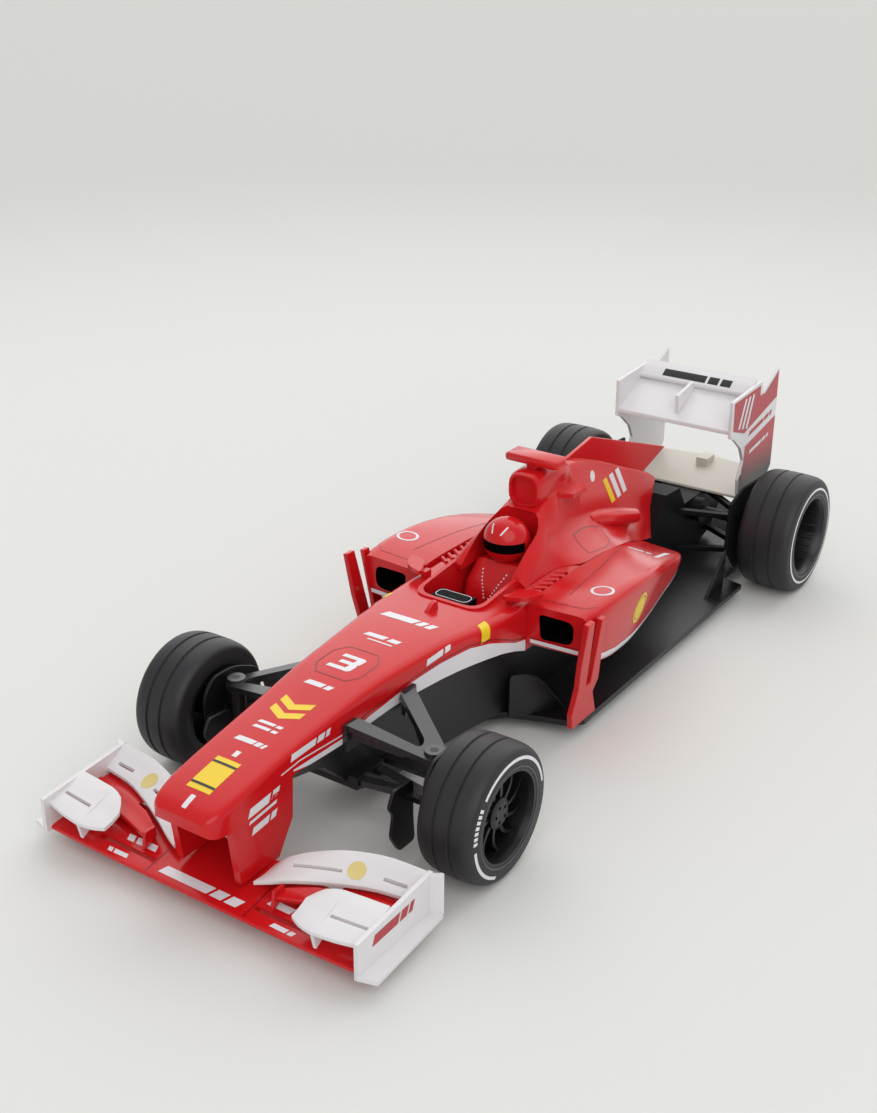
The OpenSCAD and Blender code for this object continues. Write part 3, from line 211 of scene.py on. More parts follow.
# smoothing angle in degrees and edge round in mm for each family of pieces
solidFinish = {
    "floor_tray": (30, 0.3), "chassis_tub": (30, 0.0), "battery_cover": (30, 0.2), "nose_shell": (38, 0.0),
    "sidepod": (40, 0.0), "engine_cover": (40, 0.0), "camera_bar": (50, 0.0), "shark_fin": (30, 0.25),
    "helmet": (40, 0.0), "visor": (40, 0.0), "driver_torso": (40, 0.0), "dash_panel": (30, 0.4),
    "pod_post": (25, 0.4), "mirror": (30, 0.3), "bargeboard": (30, 0.25), "front_wing_main": (30, 0.0),
    "front_blade": (30, 0.0), "front_flap": (30, 0.0), "cascade": (30, 0.0), "front_endplate": (30, 0.25),
    "rear_wing_main": (30, 0.0), "rear_wing_flap": (30, 0.0), "rear_wing_pylon": (30, 0.25),
    "rear_endplate": (25, 0.3), "beam_wing": (30, 0.0), "gearbox": (30, 0.4), "diffuser": (30, 0.25),
    "rear_upper_arm": (30, 0.3), "rear_lower_arm": (30, 0.3), "rear_duct": (30, 0.3), "upper_arm": (30, 0.35),
    "lower_arm": (30, 0.3), "knuckle": (35, 0.0), "front_duct": (30, 0.3), "tie_bar": (30, 0.3),
    "front_rim": (30, 0.2), "rear_rim": (30, 0.3),
}

# tyres are turned again from the solid's own section, so that the rounds run evenly
# wall is mm out from the seat and the round there, grooves are shares of the width
# shoulder and crown are mm in from the tread, mm from the wall and the round there
tyreSection = {"seats": {"front_tyre": 17.0, "rear_tyre": 19.0}, "bead": 0.4, "wall": (1.6, 0.6),
               "shoulder": (1.6, 0.6, 1.6), "crown": (0.35, 3.4, 1.4), "grooves": (0.36, 0.64),
               "grooveWide": 0.7, "grooveDeep": 0.6, "segments": 128, "smoothAngle": 30}


def roundCorners(corners, steps=6):
    points = []
    for i, corner in enumerate(corners):
        neighbours = corners[i - 1], corners[(i + 1) % len(corners)]
        here, before, after = (Vector(c[:2]) for c in (corner, *neighbours))
        if len(corner) < 3:
            points.append(here)
            continue
        start, end = (here + (other - here).normalized() * corner[2] for other in (before, after))
        for k in range(steps + 1):
            t = k / steps
            points.append(start * (1 - t) ** 2 + here * 2 * t * (1 - t) + end * t ** 2)
    return points


def turnedMesh(name, middle, start, section, segments, smoothAngle):
    bm = bmesh.new()
    turns = [2 * math.pi * k / segments for k in range(segments)]
    x, z = middle
    rings = [[bm.verts.new((x + r * mm * math.cos(a), start + y * mm, z + r * mm * math.sin(a)))
              for r, y in section] for a in turns]
    for k, ring in enumerate(rings):
        for j in range(len(section)):
            bm.faces.new((ring[j - 1], ring[j], rings[k - 1][j], rings[k - 1][j - 1]))
    bmesh.ops.recalc_face_normals(bm, faces=bm.faces)
    mesh = bpy.data.meshes.new(name)
    bm.to_mesh(mesh)
    bm.free()
    mesh.shade_smooth()
    mesh.set_sharp_from_angle(angle=math.radians(smoothAngle))
    return mesh


def turnedTyre(node, family, material, t):
    low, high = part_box(node)
    middle = (low[0] + high[0]) / 2, (low[2] + high[2]) / 2
    radius, width, seat = (high[2] - low[2]) / 2 / mm, (high[1] - low[1]) / mm, t["seats"][family]
    half = [(seat, t["bead"]), (seat + t["wall"][0], 0, t["wall"][1]),
            (radius - t["shoulder"][0], t["shoulder"][1], t["shoulder"][2]),
            (radius - t["crown"][0], t["crown"][1], t["crown"][2])]
    tread = [(radius - drop, width * g + out) for g in t["grooves"]
             for drop, out in ((0, -t["grooveWide"]), (t["grooveDeep"], -t["grooveWide"] / 2),
                               (t["grooveDeep"], t["grooveWide"] / 2), (0, t["grooveWide"]))]
    section = roundCorners(half + tread + [(c[0], width - c[1]) + tuple(c[2:]) for c in reversed(half)])
    mesh = turnedMesh(node + "_shell", middle, low[1], section, t["segments"], t["smoothAngle"])
    obj = addPiece(node + "_shell", mesh, material, node)
    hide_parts(node)
    return obj


shown = {}
for node in sorted(nodes):
    family = node.removesuffix("_left").removesuffix("_right")
    material = familyMaterial.get(family, slotMaterial[slotOf[node]])
    if family in tyreSection["seats"]:
        shown[node] = turnedTyre(node, family, material, tyreSection)
    else:
        shown[node] = solidCopy(node, material, *solidFinish[family])
print("solids dressed:", len(shown))

# thin web behind the spokes of each front wheel, which closes the view through it
wheelWeb = {"inner": 5.2, "outer": 15.7, "thick": 0.8, "fromOuter": 10.4, "segments": 64, "smoothAngle": 30}


def addWheelWeb(node, w):
    low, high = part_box(node)
    middle = (low[0] + high[0]) / 2, (low[2] + high[2]) / 2
    start = high[1] - w["fromOuter"] * mm if high[1] > 0 else low[1] + (w["fromOuter"] - w["thick"]) * mm
    section = [(w["inner"], 0), (w["outer"], 0), (w["outer"], w["thick"]), (w["inner"], w["thick"])]
    mesh = turnedMesh(node + "_web", middle, start, section, w["segments"], w["smoothAngle"])
    addPiece(node + "_web", mesh, blackPp, node)


for side in ("left", "right"):
    addWheelWeb("front_rim_" + side, wheelWeb)

# the red blade of the front wing runs on under the flap as a thin shelf, out to the endplate
bladeShelf = {"outline": ((175.4, 44.0), (171.8, 67.2), (159.6, 67.2), (162.4, 44.0)),
              "low": 13.7, "high": 14.7, "edge": 0.25}


def addShelf(side, sign, s):
    bm = bmesh.new()
    foot, top = ([bm.verts.new((x * mm, sign * y * mm, z * mm)) for x, y in s["outline"]]
                 for z in (s["low"], s["high"]))
    bm.faces.new(foot)
    bm.faces.new(top)
    for k in range(len(foot)):
        bm.faces.new((foot[k - 1], foot[k], top[k], top[k - 1]))
    bmesh.ops.recalc_face_normals(bm, faces=bm.faces)
    bmesh.ops.bevel(bm, geom=bm.edges[:], offset=s["edge"] * mm, segments=joinSizes["edgeSegments"],
                     affect="EDGES")
    mesh = bpy.data.meshes.new("blade_shelf_" + side)
    bm.to_mesh(mesh)
    bm.free()
    addPiece("blade_shelf_" + side, mesh, redAbs, "front_blade_" + side)


for side, sign in (("left", 1), ("right", -1)):
    addShelf(side, sign, bladeShelf)
print("wheel webs and blade shelves added")

# the pod mouths get painted shade inside: faces that look toward the middle of the intake, and its back wall
podMouth = {"depth": 20.0, "inset": 0.3, "low": 38.0, "high": 55.0, "inner": 24.0, "outer": 52.0,
            "middle": (38.0, 46.6), "backFrom": 2.0, "backFacing": 0.6}


def paintMouthShade(node, m):
    mesh = shown[node].data
    mesh.materials.append(mouthShadePp)
    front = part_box(node)[1][0] / mm
    for face in mesh.polygons:
        x, y, z = (c / mm for c in face.center)
        across, up = (abs(y) - m["middle"][0]) * math.copysign(1, y), z - m["middle"][1]
        isInside = (front - m["depth"] < x < front - m["inset"] and m["inner"] < abs(y) < m["outer"]
                    and m["low"] < z < m["high"])
        isWall = face.normal.y * across + face.normal.z * up < 0
        isBack = face.normal.x > m["backFacing"] and x < front - m["backFrom"]
        if isInside and (isWall or isBack):
            face.material_index = 1


for side in ("left", "right"):
    paintMouthShade("sidepod_" + side, podMouth)

# printed marks lie on the shells: an outline is cut to small cells, dropped on the solid and lifted by a film
# all in mm, apart from the count of halvings
film = {"lift": 0.09, "cell": 1.6, "from": 300.0, "reach": 600.0, "cutWithin": 0.001, "halvings": 14}
diagonal = 0.7071  # sine of 45 degrees
# first and second axis of the drawing, and the side that it is laid on from
drawnOn = {"top": ((1, 0, 0), (0, 1, 0), (0, 0, 1)), "left": ((1, 0, 0), (0, 0, 1), (0, 1, 0)),
           "front": ((0, 1, 0), (0, 0, 1), (1, 0, 0)),
           "edge": ((1, 0, 0), (0, -diagonal, diagonal), (0, diagonal, diagonal))}
hostTrees = {}


def dropPoint(node, view, a, b, layer=1):
    if node not in hostTrees:
        bm = bmesh.new()
        bm.from_mesh(nodes[node].data)
        hostTrees[node] = BVHTree.FromBMesh(bm)
        bm.free()
    first, second, out = (Vector(axis) for axis in drawnOn[view])
    start = (first * a + second * b) * mm + out * film["from"] * mm
    spot, normal = hostTrees[node].ray_cast(start, -out, film["reach"] * mm)[:2]
    if spot is None:
        return None
    return spot + normal * film["lift"] * layer * mm * (1 if normal.dot(out) > 0 else -1)


def finishMark(name, bm, node, view, ink):
    out = Vector(drawnOn[view][2])
    bm.normal_update()
    if sum((f.normal.dot(out) * f.calc_area() for f in bm.faces), 0.0) < 0:
        bmesh.ops.reverse_faces(bm, faces=bm.faces)
    mirrored = view in ("left", "edge") or node.endswith("_left")
    mesh = bpy.data.meshes.new(name)
    bm.to_mesh(mesh)
    mesh.shade_smooth()
    addPiece(name, mesh, ink, node)
    if mirrored:
        for v in bm.verts:
            v.co.y = -v.co.y
        bmesh.ops.reverse_faces(bm, faces=bm.faces)
        twin = bpy.data.meshes.new(name + "_right")
        bm.to_mesh(twin)
        twin.shade_smooth()
        addPiece(name + "_right", twin, ink, node.replace("_left", "_right"))
    bm.free()


def layMark(name, node, view, ink, outlines, cell=film["cell"], layer=1):
    bm = bmesh.new()
    for points in outlines:
        bm.faces.new([bm.verts.new((a, b, 0)) for a, b in points])
    bm.normal_update()
    bmesh.ops.triangulate(bm, faces=bm.faces[:], ngon_method="EAR_CLIP")
    for axis in (0, 1):
        spread = [v.co[axis] for v in bm.verts]
        for k in range(math.ceil(min(spread) / cell), math.ceil(max(spread) / cell)):
            place, across = Vector((0, 0, 0)), Vector((0, 0, 0))
            place[axis], across[axis] = k * cell, 1
            bmesh.ops.bisect_plane(bm, geom=bm.verts[:] + bm.edges[:] + bm.faces[:], plane_co=place,
                                   plane_no=across, dist=film["cutWithin"])
    spots = {v: dropPoint(node, view, v.co.x, v.co.y, layer) for v in bm.verts}
    lost = [v for v, spot in spots.items() if spot is None]
    for v, spot in spots.items():
        if spot is not None:
            v.co = spot
    bmesh.ops.delete(bm, geom=lost, context="VERTS")
    finishMark(name, bm, node, view, ink)


def heightAt(curve, a):
    for (a0, b0), (a1, b1) in zip(curve, curve[1:]):
        if min(a0, a1) <= a <= max(a0, a1):
            return b0 + (b1 - b0) * (a - a0) / (a1 - a0)
    return curve[-1][1]


# a band between two curves; where the lower one runs off the solid, the band stops at the solid's edge
def layBand(name, node, view, ink, low, high, columns, rows):
    bm = bmesh.new()
    grid = []
    for i in range(columns + 1):
        a = high[0][0] + (high[-1][0] - high[0][0]) * i / columns
        top, foot = heightAt(high, a), heightAt(low, a)
        if dropPoint(node, view, a, foot) is None:
            hit, miss = top, foot
            for halving in range(film["halvings"]):
                half = (hit + miss) / 2
                hit, miss = (half, miss) if dropPoint(node, view, a, half) else (hit, half)
            foot = hit
        spots = [dropPoint(node, view, a, foot + (top - foot) * j / rows) for j in range(rows + 1)]
        grid.append([bm.verts.new(s) for s in spots])
    for here, ahead in zip(grid, grid[1:]):
        for j in range(rows):
            bm.faces.new((here[j], ahead[j], ahead[j + 1], here[j + 1]))
    finishMark(name, bm, node, view, ink)


# outlines: degrees of one step of an arc, and the sharpest corner of a line that is still mitred
arcStep = 5
mitreLimit = 0.4


def boxOutline(a0, a1, b0, b1, corner=0.0):
    if not corner:
        return [(a0, b0), (a1, b0), (a1, b1), (a0, b1)]
    turns = ((a1 - corner, b0 + corner, -90), (a1 - corner, b1 - corner, 0),
             (a0 + corner, b1 - corner, 90), (a0 + corner, b0 + corner, 180))
    return [(a + corner * math.cos(math.radians(t + s)), b + corner * math.sin(math.radians(t + s)))
            for a, b, t in turns for s in (0, 22.5, 45, 67.5, 90)]


def ovalOutline(a, b, ra, rb, count=32):
    return [(a + ra * math.cos(2 * math.pi * k / count), b + rb * math.sin(2 * math.pi * k / count))
            for k in range(count)]


def arcOutline(a, b, radius, width, start, end):
    count = max(2, round(abs(end - start) / arcStep))
    turns = [math.radians(start + (end - start) * k / count) for k in range(count + 1)]
    outer, inner = radius + width / 2, radius - width / 2
    return ([(a + outer * math.cos(t), b + outer * math.sin(t)) for t in turns]
            + [(a + inner * math.cos(t), b + inner * math.sin(t)) for t in reversed(turns)])


def ringOutlines(a, b, radius, width):
    return [arcOutline(a, b, radius, width, start, start + 180) for start in (0, 180)]


# a drawn line: one quad for each stretch, with mitred corners
def lineOutline(points, width, closed=False):
    count = len(points)
    sides = []
    for i, (a, b) in enumerate(points):
        before = points[i - 1] if i or closed else points[i]
        after = points[(i + 1) % count] if i < count - 1 or closed else points[i]
        d0 = Vector((a - before[0], b - before[1]))
        d1 = Vector((after[0] - a, after[1] - b))
        d0 = d0.normalized() if d0.length else d1.normalized()
        d1 = d1.normalized() if d1.length else d0
        mean = (d0 + d1).normalized()
        reach = width / 2 / max(mitreLimit, mean.dot(d0))
        sides.append(((a - mean.y * reach, b + mean.x * reach), (a + mean.y * reach, b - mean.x * reach)))
    last = count if closed else count - 1
    ends = [(sides[i], sides[(i + 1) % count]) for i in range(last)]
    return [[near[0], far[0], far[1], near[1]] for near, far in ends]


# a plain stripe with slanted ends, broken into a few blocks
def printRow(start, along, up, length, height, blocks, slant=0.4, gap=0.35):
    unit = length / (sum(blocks) + gap * (len(blocks) - 1))
    place = 0.0
    row = []
    for block in blocks:
        corners = ((place, 0), (place + block * unit, 0), (place + block * unit + slant * height, height),
                   (place + slant * height, height))
        row.append([(start[0] + along[0] * p + up[0] * q, start[1] + along[1] * p + up[1] * q)
                    for p, q in corners])
        place += (block + gap) * unit
    return row


# a row across the top, and one along the left side that rises by a share of its length
def topRow(x, y, length, height, blocks, **look):
    return printRow((x, y), (0, 1), (-1, 0), length, height, blocks, **look)


def sideRow(x, z, rise, length, height, blocks, **look):
    return printRow((x, z), (-1, rise), (0, 1), length, height, blocks, **look)


def bothSides(outlines):
    return outlines + [[(a, -b) for a, b in points] for points in outlines]


shortStripe, longStripe, wideStripe, fullStripe = (3, 1), (5, 1.4, 0.8), (6, 1.4, 1.4), (1,)
lineWidth = {"joint": 0.35, "frame": 0.45, "pin": 0.55, "step": 0.4, "dash": 0.3, "helmet": 0.7}
markCell = {"shoulder": 0.5, "plate": 4.0, "helmet": 0.8, "belt": 0.6, "dash": 1.0}

# top of the nose: race number in a thin frame, a yellow field, chevrons and plain stripes
raceNumber = {"foot": 116.0, "left": -5.2, "height": 10.0, "width": 10.0, "slant": 0.14}


def numberThree(n):
    strokes = [boxOutline(0.0, 0.7, 0.8, 1.0), boxOutline(0.2, 0.7, 0.4, 0.6), boxOutline(0.0, 0.7, 0.0, 0.2),
               [(0.7, 0.0), (0.9, 0.0), (1.0, 0.1), (1.0, 0.42), (0.94, 0.5), (1.0, 0.58), (1.0, 0.9),
                (0.9, 1.0), (0.7, 1.0)]]
    return [[(n["foot"] - q * n["height"], n["left"] + (p + n["slant"] * (q - 0.5)) * n["width"])
             for p, q in stroke] for stroke in strokes]


numberFrame = [(101, -6.5), (101, 6.5), (106, 10), (116, 10), (121, 6.5), (121, -6.5), (116, -10), (106, -10)]
chevrons = [[(146 - k, -6.6), (149.4 - k, 0), (146 - k, 6.6), (142.6 - k, 6.6), (146 - k, 0),
             (142.6 - k, -6.6)] for k in (0, 5.6)]
noseMarks = {
    "number_frame": (darkRedInk, lineOutline(numberFrame, lineWidth["frame"], closed=True)),
    "race_number": (whiteInk, numberThree(raceNumber)),
    "nose_yellow_field": (yellowInk, [boxOutline(174, 189.5, -5, 5)]),
    "nose_tip_bar": (whiteInk, [boxOutline(191.6, 196.8, -0.6, 1.4, 0.4)]),
    "nose_small_bar": (whiteInk, [boxOutline(169.2, 172.1, -1, 1)]),
    "nose_stripe_a": (whiteInk, topRow(164.6, -6.6, 12.4, 2.2, longStripe)),
    "nose_stripe_b": (whiteInk, topRow(156.6, -5.4, 10, 1.4, shortStripe)
                      + topRow(153.8, -5.4, 10, 1.4, shortStripe)),
    "nose_chevrons": (yellowInk, chevrons),
    "nose_stripe_c": (whiteInk, topRow(128.4, -6, 11, 2.4, shortStripe)),
    "nose_stripe_d": (whiteInk, topRow(90.6, -8.4, 15, 2.6, (2, 1)) + topRow(93, -5, 11, 0.8, fullStripe)),
    "nose_stripe_e": (whiteInk, topRow(73.6, -13.4, 23, 4, (5, 1, 1))),
}
for name, (ink, outlines) in noseMarks.items():
    layMark(name, "nose_shell", "top", ink, outlines)
layMark("nose_field_lines", "nose_shell", "top", blackInk,
        [boxOutline(176, 177, -5, 5), boxOutline(186.5, 187.5, -5, 5)], layer=2)

# flank of the nose: white stripe down to the seam, a hairline over it and plain rows
stripeHigh = [(160, 42.4), (145, 42.2), (132, 42.3), (120.2, 44.5), (106.1, 46.4), (97.3, 48.1), (82.4, 49.3),
              (66.4, 49.4), (55, 47), (46, 43.6), (38.7, 40.6), (31.4, 39)]
stripeLow = [(160, 41.8), (145, 39), (132, 38), (60, 38), (31.4, 30)]
hairline = [(128, 44.6), (121.5, 46), (106, 47.8), (97.3, 49.3), (82.4, 50.4), (66.4, 50.6), (53.5, 48),
            (46, 45), (38.7, 41.7), (31.6, 40)]
pinstripe = [(166, 43.4), (156.4, 44.4), (143.8, 43.9), (133.7, 43.6)]
layBand("nose_stripe", "nose_shell", "left", whiteInk, stripeLow, stripeHigh, columns=70, rows=4)
flankMarks = {
    "nose_hairline": (darkRedInk, lineOutline(hairline, lineWidth["frame"])),
    "nose_pinstripe": (whiteInk, lineOutline(pinstripe, lineWidth["pin"])),
    "nose_side_row": (whiteInk, sideRow(161.2, 45.8, 0.06, 19.6, 2.4, longStripe)),
    "pillar_row_a": (whiteInk, sideRow(182.6, 35.4, 0.1, 14.6, 3.2, shortStripe)),
    "pillar_row_b": (whiteInk, sideRow(182, 32.6, 0.1, 13.6, 1.2, fullStripe)),
    "pillar_row_c": (whiteInk, sideRow(181, 28, 0.1, 12, 2.6, shortStripe)),
}
for name, (ink, outlines) in flankMarks.items():
    layMark(name, "nose_shell", "left", ink, outlines)
# marks on the shoulder of the nose, drawn across the edge at 45 degrees
layMark("shoulder_patch", "nose_shell", "edge", yellowInk,
        sideRow(60.4, 17.6, 0, 5, 6.4, fullStripe, slant=0.2), markCell["shoulder"])
layMark("shoulder_row", "nose_shell", "edge", whiteInk,
        sideRow(90, 22.4, 0, 13, 1.8, shortStripe), markCell["shoulder"])
print("nose printed")

# sidepods: stripe along the lower edge, plain patches and fine joint lines
podRound = (-17, 40.4)
podJoint, podFrontJoint = [(17.5, 37.5), (-14.3, 33.6), (-44, 28)], [(25.6, 29), (25.6, 48), (22, 52)]
podMarks = {
    "pod_ring": ("top", whiteInk, ringOutlines(8.4, 46.8, 4.2, 1.1)),
    "pod_rear_row": ("top", whiteInk, printRow((-49, 28), (-0.35, 0.94), (1, 0.2), 10, 2.2, shortStripe)),
    "pod_rear_bar": ("top", whiteInk, [[(-46, 41.6), (-66, 37.6), (-69, 39), (-49, 42.6)]]),
    "pod_round_patch": ("left", yellowInk, [ovalOutline(*podRound, 6.2, 6.8)]),
    "pod_joint_line": ("top", darkRedInk, lineOutline(podJoint, lineWidth["joint"])),
    "pod_front_line": ("top", darkRedInk, lineOutline(podFrontJoint, lineWidth["joint"])),
    "pod_front_stripe": ("front", whiteInk, [[(28, 38.2), (49.4, 39), (49.6, 40.7), (28, 39.8)]]),
    "pod_front_hairline": ("front", darkRedInk, lineOutline([(28, 40.4), (49.4, 41.3)], lineWidth["joint"])),
}
for name, (view, ink, outlines) in podMarks.items():
    layMark(name, "sidepod_left", view, ink, outlines)
layMark("pod_round_line", "sidepod_left", "left", darkRedInk,
        ringOutlines(*podRound, 5.2, lineWidth["joint"]), layer=2)
podStripeLow = [(30.6, 36), (24, 30), (13, 24), (-80, 20)]
podStripeHigh = [(30.6, 41.2), (24, 37.4), (13.7, 33), (1, 30), (-12, 28.8), (-26, 28.5), (-44, 29),
                 (-62, 30.1), (-80, 31.1)]
layBand("pod_side_stripe", "sidepod_left", "left", whiteInk, podStripeLow, podStripeHigh, columns=64, rows=3)
print("pods printed")

# engine cover: three slanted stripes on each flank, a round spot and the joint lines of a pressed panel
pressedPanel = [(-24.7, 14.6), (-35.7, 13.4), (-48.9, 14.2), (-45, 21.5), (-36.7, 24.3), (-23.5, 23.5)]
flankStripe = {"foot": 57.6, "top": 70.0, "lean": 6.0, "wide": 4.2}


def slantedStripe(x, s):
    far = x + s["wide"]
    return [(x, s["foot"]), (far, s["foot"]), (far + s["lean"], s["top"]), (x + s["lean"], s["top"])]


coverMarks = {
    "cover_stripe_yellow": ("left", yellowInk, [slantedStripe(-76, flankStripe)]),
    "cover_stripes_white": ("left", whiteInk, [slantedStripe(x, flankStripe) for x in (-83, -90)]),
    "cover_spot": ("left", whiteInk, [ovalOutline(-56.2, 75, 2.4, 2.4)]),
    "cover_panel_line": ("top", darkRedInk,
                         bothSides(lineOutline(pressedPanel, lineWidth["joint"], closed=True))),
}
for name, (view, ink, outlines) in coverMarks.items():
    layMark(name, "engine_cover", view, ink, outlines)
print("cover printed")

# wings: plain stripes on the planes, round patches on the front flaps, a row on each front endplate
wingMarks = {
    "wing_centre_row": ("front_wing_main", "top", whiteInk, topRow(193.4, -17.4, 34, 3.6, wideStripe)),
    "wing_side_rows": ("front_wing_main", "top", whiteInk,
                       bothSides(topRow(187, 24.6, 13.4, 2.6, shortStripe)
                                 + topRow(194, 31.4, 9, 1.8, shortStripe))),
    # dark lines where the raised centre of the main plane steps down: painted shade of the step
    "wing_step_shade_lines": ("front_wing_main", "top", darkRedInk,
                        bothSides(lineOutline([(196, 21.4), (178, 21.4)], lineWidth["step"]))),
    "flap_round": ("front_flap_left", "top", paleInk, [ovalOutline(167, 46, 3.0, 3.2)]),
    "endplate_row": ("front_endplate_left", "left", redInk, sideRow(189.6, 14.4, 0.02, 21, 3.6, longStripe)),
    "rear_flap_row": ("rear_wing_flap", "top", blackInk,
                      topRow(-167.2, -17.6, 36, 3.6, wideStripe, slant=0.0)),
}
for name, (node, view, ink, outlines) in wingMarks.items():
    layMark(name, node, view, ink, outlines)

# rear endplates: red fields with a bare white band between, the lower one fading to black
plateArt = {"black": 42.0, "red": 58.0, "blackTone": "#161618", "redTone": "#b8343f", "rough": 0.34}
fadeInk, fadeTree, fadeShader, fadeWhere = newMaterial("red print fading to black")
fadeHeight = addNode(fadeTree, "ShaderNodeSeparateXYZ", [(fadeWhere, 0)])
fadeShare = addNode(fadeTree, "ShaderNodeMapRange", [(fadeHeight.outputs["Z"], "Value")],
                    in_From_Min=plateArt["black"] * mm, in_From_Max=plateArt["red"] * mm)
fadeMix = addNode(fadeTree, "ShaderNodeMix", [(fadeShare.outputs["Result"], "Factor")], data_type="RGBA",
                  in_6=hexColor(plateArt["blackTone"]), in_7=hexColor(plateArt["redTone"]))
fadeTree.links.new(fadeMix.outputs[2], fadeShader.inputs["Base Color"])
fadeShader.inputs["Roughness"].default_value = plateArt["rough"]
upperField = [(-146, 88), (-146.6, 74), (-160, 69.4), (-197.8, 78), (-197.2, 91.4), (-181.2, 83.4),
              (-179, 89.4)]
lowerField = [(-161.4, 56), (-158.6, 46), (-160.4, 35.4), (-191.4, 35.4), (-197.8, 42), (-197.8, 68),
              (-163, 62)]
plateStripes = [[(-152 - k, 73.6 - 0.24 * k), (-154.2 - k, 73.1 - 0.24 * k), (-160.2 - k, 87), (-158 - k, 87)]
                for k in (0, 4.4, 8.8)]
plateMarks = {"plate_upper_field": (redInk, [upperField]), "plate_lower_field": (fadeInk, [lowerField])}
plateLines = {"plate_stripes": (whiteInk, plateStripes),
              "plate_lower_row": (whiteInk, sideRow(-168, 56.4, 0.14, 22, 1.8, longStripe))}
for name, (ink, outlines) in plateMarks.items():
    layMark(name, "rear_endplate_left", "left", ink, outlines, markCell["plate"])
for name, (ink, outlines) in plateLines.items():
    layMark(name, "rear_endplate_left", "left", ink, outlines, markCell["plate"], layer=2)
layMark("plate_band_row", "rear_endplate_left", "left", redInk,
        sideRow(-166, 66.2, 0.16, 26, 2.2, longStripe), markCell["plate"])
print("wings printed")

# driver: dashes on the helmet, belts of small stitches and a white line round the dash, a painted highlight
beltStitch = {"out": 5.6, "draw": 0.56, "half": 0.28, "top": 54.0, "drop": 1.15, "high": 0.5, "count": 9}
dashHighlightInset = {"insetX": 0.9, "insetY": 1.0, "corner": 2.2}


def stitchOutline(side, k, b):
    middle, foot = side * (b["out"] - b["draw"] * k), b["top"] - b["drop"] * k
    return boxOutline(middle - b["half"], middle + b["half"], foot, foot + b["high"])


helmetDashes = (lineOutline([(-3.4, 73.4), (-1.9, 70.6)], lineWidth["helmet"])
                + lineOutline([(3.4, 73.4), (1.9, 70.6)], lineWidth["helmet"]))
layMark("helmet_dashes", "helmet", "front", whiteInk, helmetDashes, markCell["helmet"])
beltStitches = [stitchOutline(side, k, beltStitch) for side in (1, -1) for k in range(beltStitch["count"])]
layMark("belt_stitches", "driver_torso", "front", whiteInk, beltStitches, markCell["belt"])
# the white line round the dash top is a painted highlight of its glossy edge
dashLow, dashHigh = ([c / mm for c in corner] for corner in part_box("dash_panel"))
dashEdge = boxOutline(dashLow[0] + dashHighlightInset["insetX"], dashHigh[0] - dashHighlightInset["insetX"],
                      dashLow[1] + dashHighlightInset["insetY"], dashHigh[1] - dashHighlightInset["insetY"], dashHighlightInset["corner"])
layMark("dash_edge_highlight", "dash_panel", "top", whiteInk, lineOutline(dashEdge, lineWidth["dash"], closed=True),
        markCell["dash"])
print("driver dressed")

# tyres: a white ring in arcs round each outer wall, small blocks on the front ones, a painted grey highlight
# by the bead
tyreRing = {
    "front_tyre_left": {"radius": 21.0, "width": 1.2, "arcs": ((44, 107), (107, 170), (293, 354)),
                        "blocks": 7, "bead": 18.0},
    "rear_tyre_left": {"radius": 22.7, "width": 1.0, "arcs": ((0, 120), (120, 240), (240, 360)),
                       "blocks": 0, "bead": 20.0},
}
tyreBlock = {"first": 1.5, "step": 5.2, "turn": 3.4, "width": 1.9, "bead": 0.3}


def printTyre(node, t, k):
    low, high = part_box(node)
    a, b = (low[0] + high[0]) / 2 / mm, (low[2] + high[2]) / 2 / mm
    outlines = [arcOutline(a, b, t["radius"], t["width"], s, e) for s, e in t["arcs"]]
    starts = [k["first"] + k["step"] * i for i in range(t["blocks"])]
    outlines += [arcOutline(a, b, t["radius"], k["width"], s, s + k["turn"]) for s in starts]
    layMark(node.replace("_left", "_print"), node, "left", whiteInk, outlines)
    # the grey ring by the bead is a painted highlight of the rim's edge
    beadHighlight = ringOutlines(a, b, t["bead"], k["bead"])
    layMark(node.replace("_left", "_bead_highlight"), node, "left", beadHighlightInk, beadHighlight)


for node, ringSizes in tyreRing.items():
    printTyre(node, ringSizes, tyreBlock)
print("tyres printed")

# soft studio light, pale paper floor painted a little darker away from the car as a painted falloff of light
studio = {"world": "#ffffff", "base": 0.5, "sheen": 1.7, "sheenFrom": (-0.75, -0.24, 0.58), "sheenEdge": 62,
          "sheenCore": 20, "sunStrength": 1.15, "sunAngle": 60, "sunFrom": (0.7, 0.65, 0.8),
          "floorNear": "#dededb", "floorFar": "#cbccc8", "near": 0.45, "far": 1.3, "floorSize": 12.0,
          "floorRough": 0.9, "floorShine": 0.1, "horizon": "#d3d4d0"}


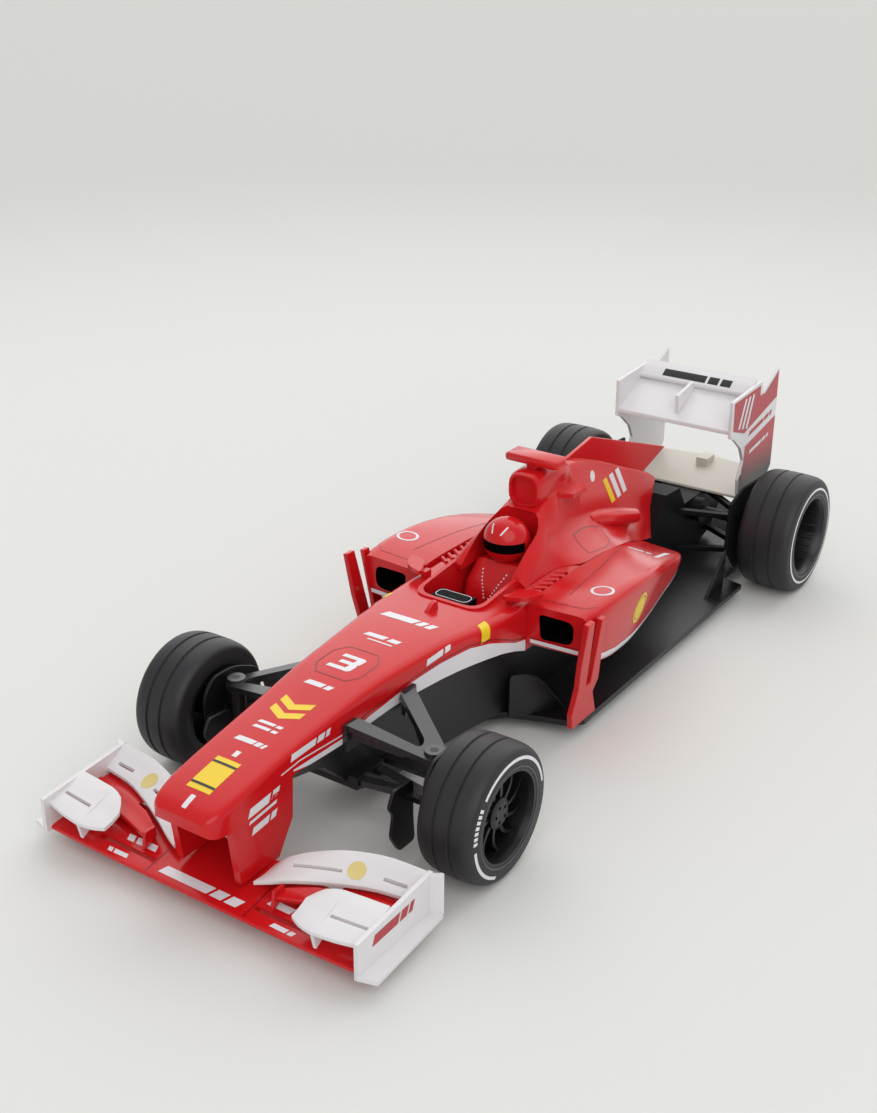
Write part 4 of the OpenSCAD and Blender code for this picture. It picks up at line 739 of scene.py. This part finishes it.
def lightStudio(s):
    world = bpy.data.worlds.new("studio")
    bpy.context.scene.world = world
    world.use_nodes = True
    ground = world.node_tree.nodes["Background"]
    ground.inputs["Color"].default_value = hexColor(s["world"])
    # the sky is brighter behind the car, which shows as a pale sheen on the upper faces
    tree = world.node_tree
    where = addNode(tree, "ShaderNodeTexCoord").outputs["Generated"]
    toward = addNode(tree, "ShaderNodeVectorMath", [(where, 0)], operation="DOT_PRODUCT",
                     in_1=Vector(s["sheenFrom"]).normalized())
    edge, core = (math.cos(math.radians(s[key])) for key in ("sheenEdge", "sheenCore"))
    level = addNode(tree, "ShaderNodeMapRange", [(toward.outputs["Value"], "Value")],
                    interpolation_type="SMOOTHSTEP", in_From_Min=edge, in_From_Max=core,
                    in_To_Min=s["base"], in_To_Max=s["sheen"])
    tree.links.new(level.outputs["Result"], ground.inputs["Strength"])
    # past the floor's edge the camera sees the floor's own tone, as lit
    ray = addNode(tree, "ShaderNodeLightPath")
    distance = addNode(tree, "ShaderNodeBackground", in_Color=hexColor(s["horizon"]))
    seen = addNode(tree, "ShaderNodeMixShader", [(ray.outputs["Is Camera Ray"], 0), (ground.outputs[0], 1),
                                                 (distance.outputs[0], 2)])
    tree.links.new(seen.outputs[0], tree.nodes["World Output"].inputs["Surface"])
    data = bpy.data.lights.new("softbox", "SUN")
    data.energy = s["sunStrength"]
    data.angle = math.radians(s["sunAngle"])
    lamp = bpy.data.objects.new("softbox", data)
    bpy.context.scene.collection.objects.link(lamp)
    lamp.rotation_euler = (-Vector(s["sunFrom"])).to_track_quat("-Z", "Y").to_euler()


def layFloor(s):
    half = s["floorSize"] / 2
    mesh = bpy.data.meshes.new("studio_floor")
    corners = [(-half, -half, 0), (half, -half, 0), (half, half, 0), (-half, half, 0)]
    mesh.from_pydata(corners, [], [(0, 1, 2, 3)])
    floor = bpy.data.objects.new("studio_floor", mesh)
    bpy.context.scene.collection.objects.link(floor)
    mat, tree, shader, where = newMaterial("matt paper with painted falloff")
    # painted falloff: the floor's tone darkens with distance from the car, standing in for the light dropping
    # off
    far = addNode(tree, "ShaderNodeVectorMath", [(where, 0)], operation="LENGTH")
    share = addNode(tree, "ShaderNodeMapRange", [(far.outputs["Value"], "Value")],
                    interpolation_type="SMOOTHSTEP", in_From_Min=s["near"], in_From_Max=s["far"])
    tone = addNode(tree, "ShaderNodeMix", [(share.outputs["Result"], "Factor")], data_type="RGBA",
                   in_6=hexColor(s["floorNear"]), in_7=hexColor(s["floorFar"]))
    tree.links.new(tone.outputs[2], shader.inputs["Base Color"])
    shader.inputs["Roughness"].default_value = s["floorRough"]
    shader.inputs["Specular IOR Level"].default_value = s["floorShine"]
    mesh.materials.append(mat)


lightStudio(studio)
layFloor(studio)
print("studio lit")
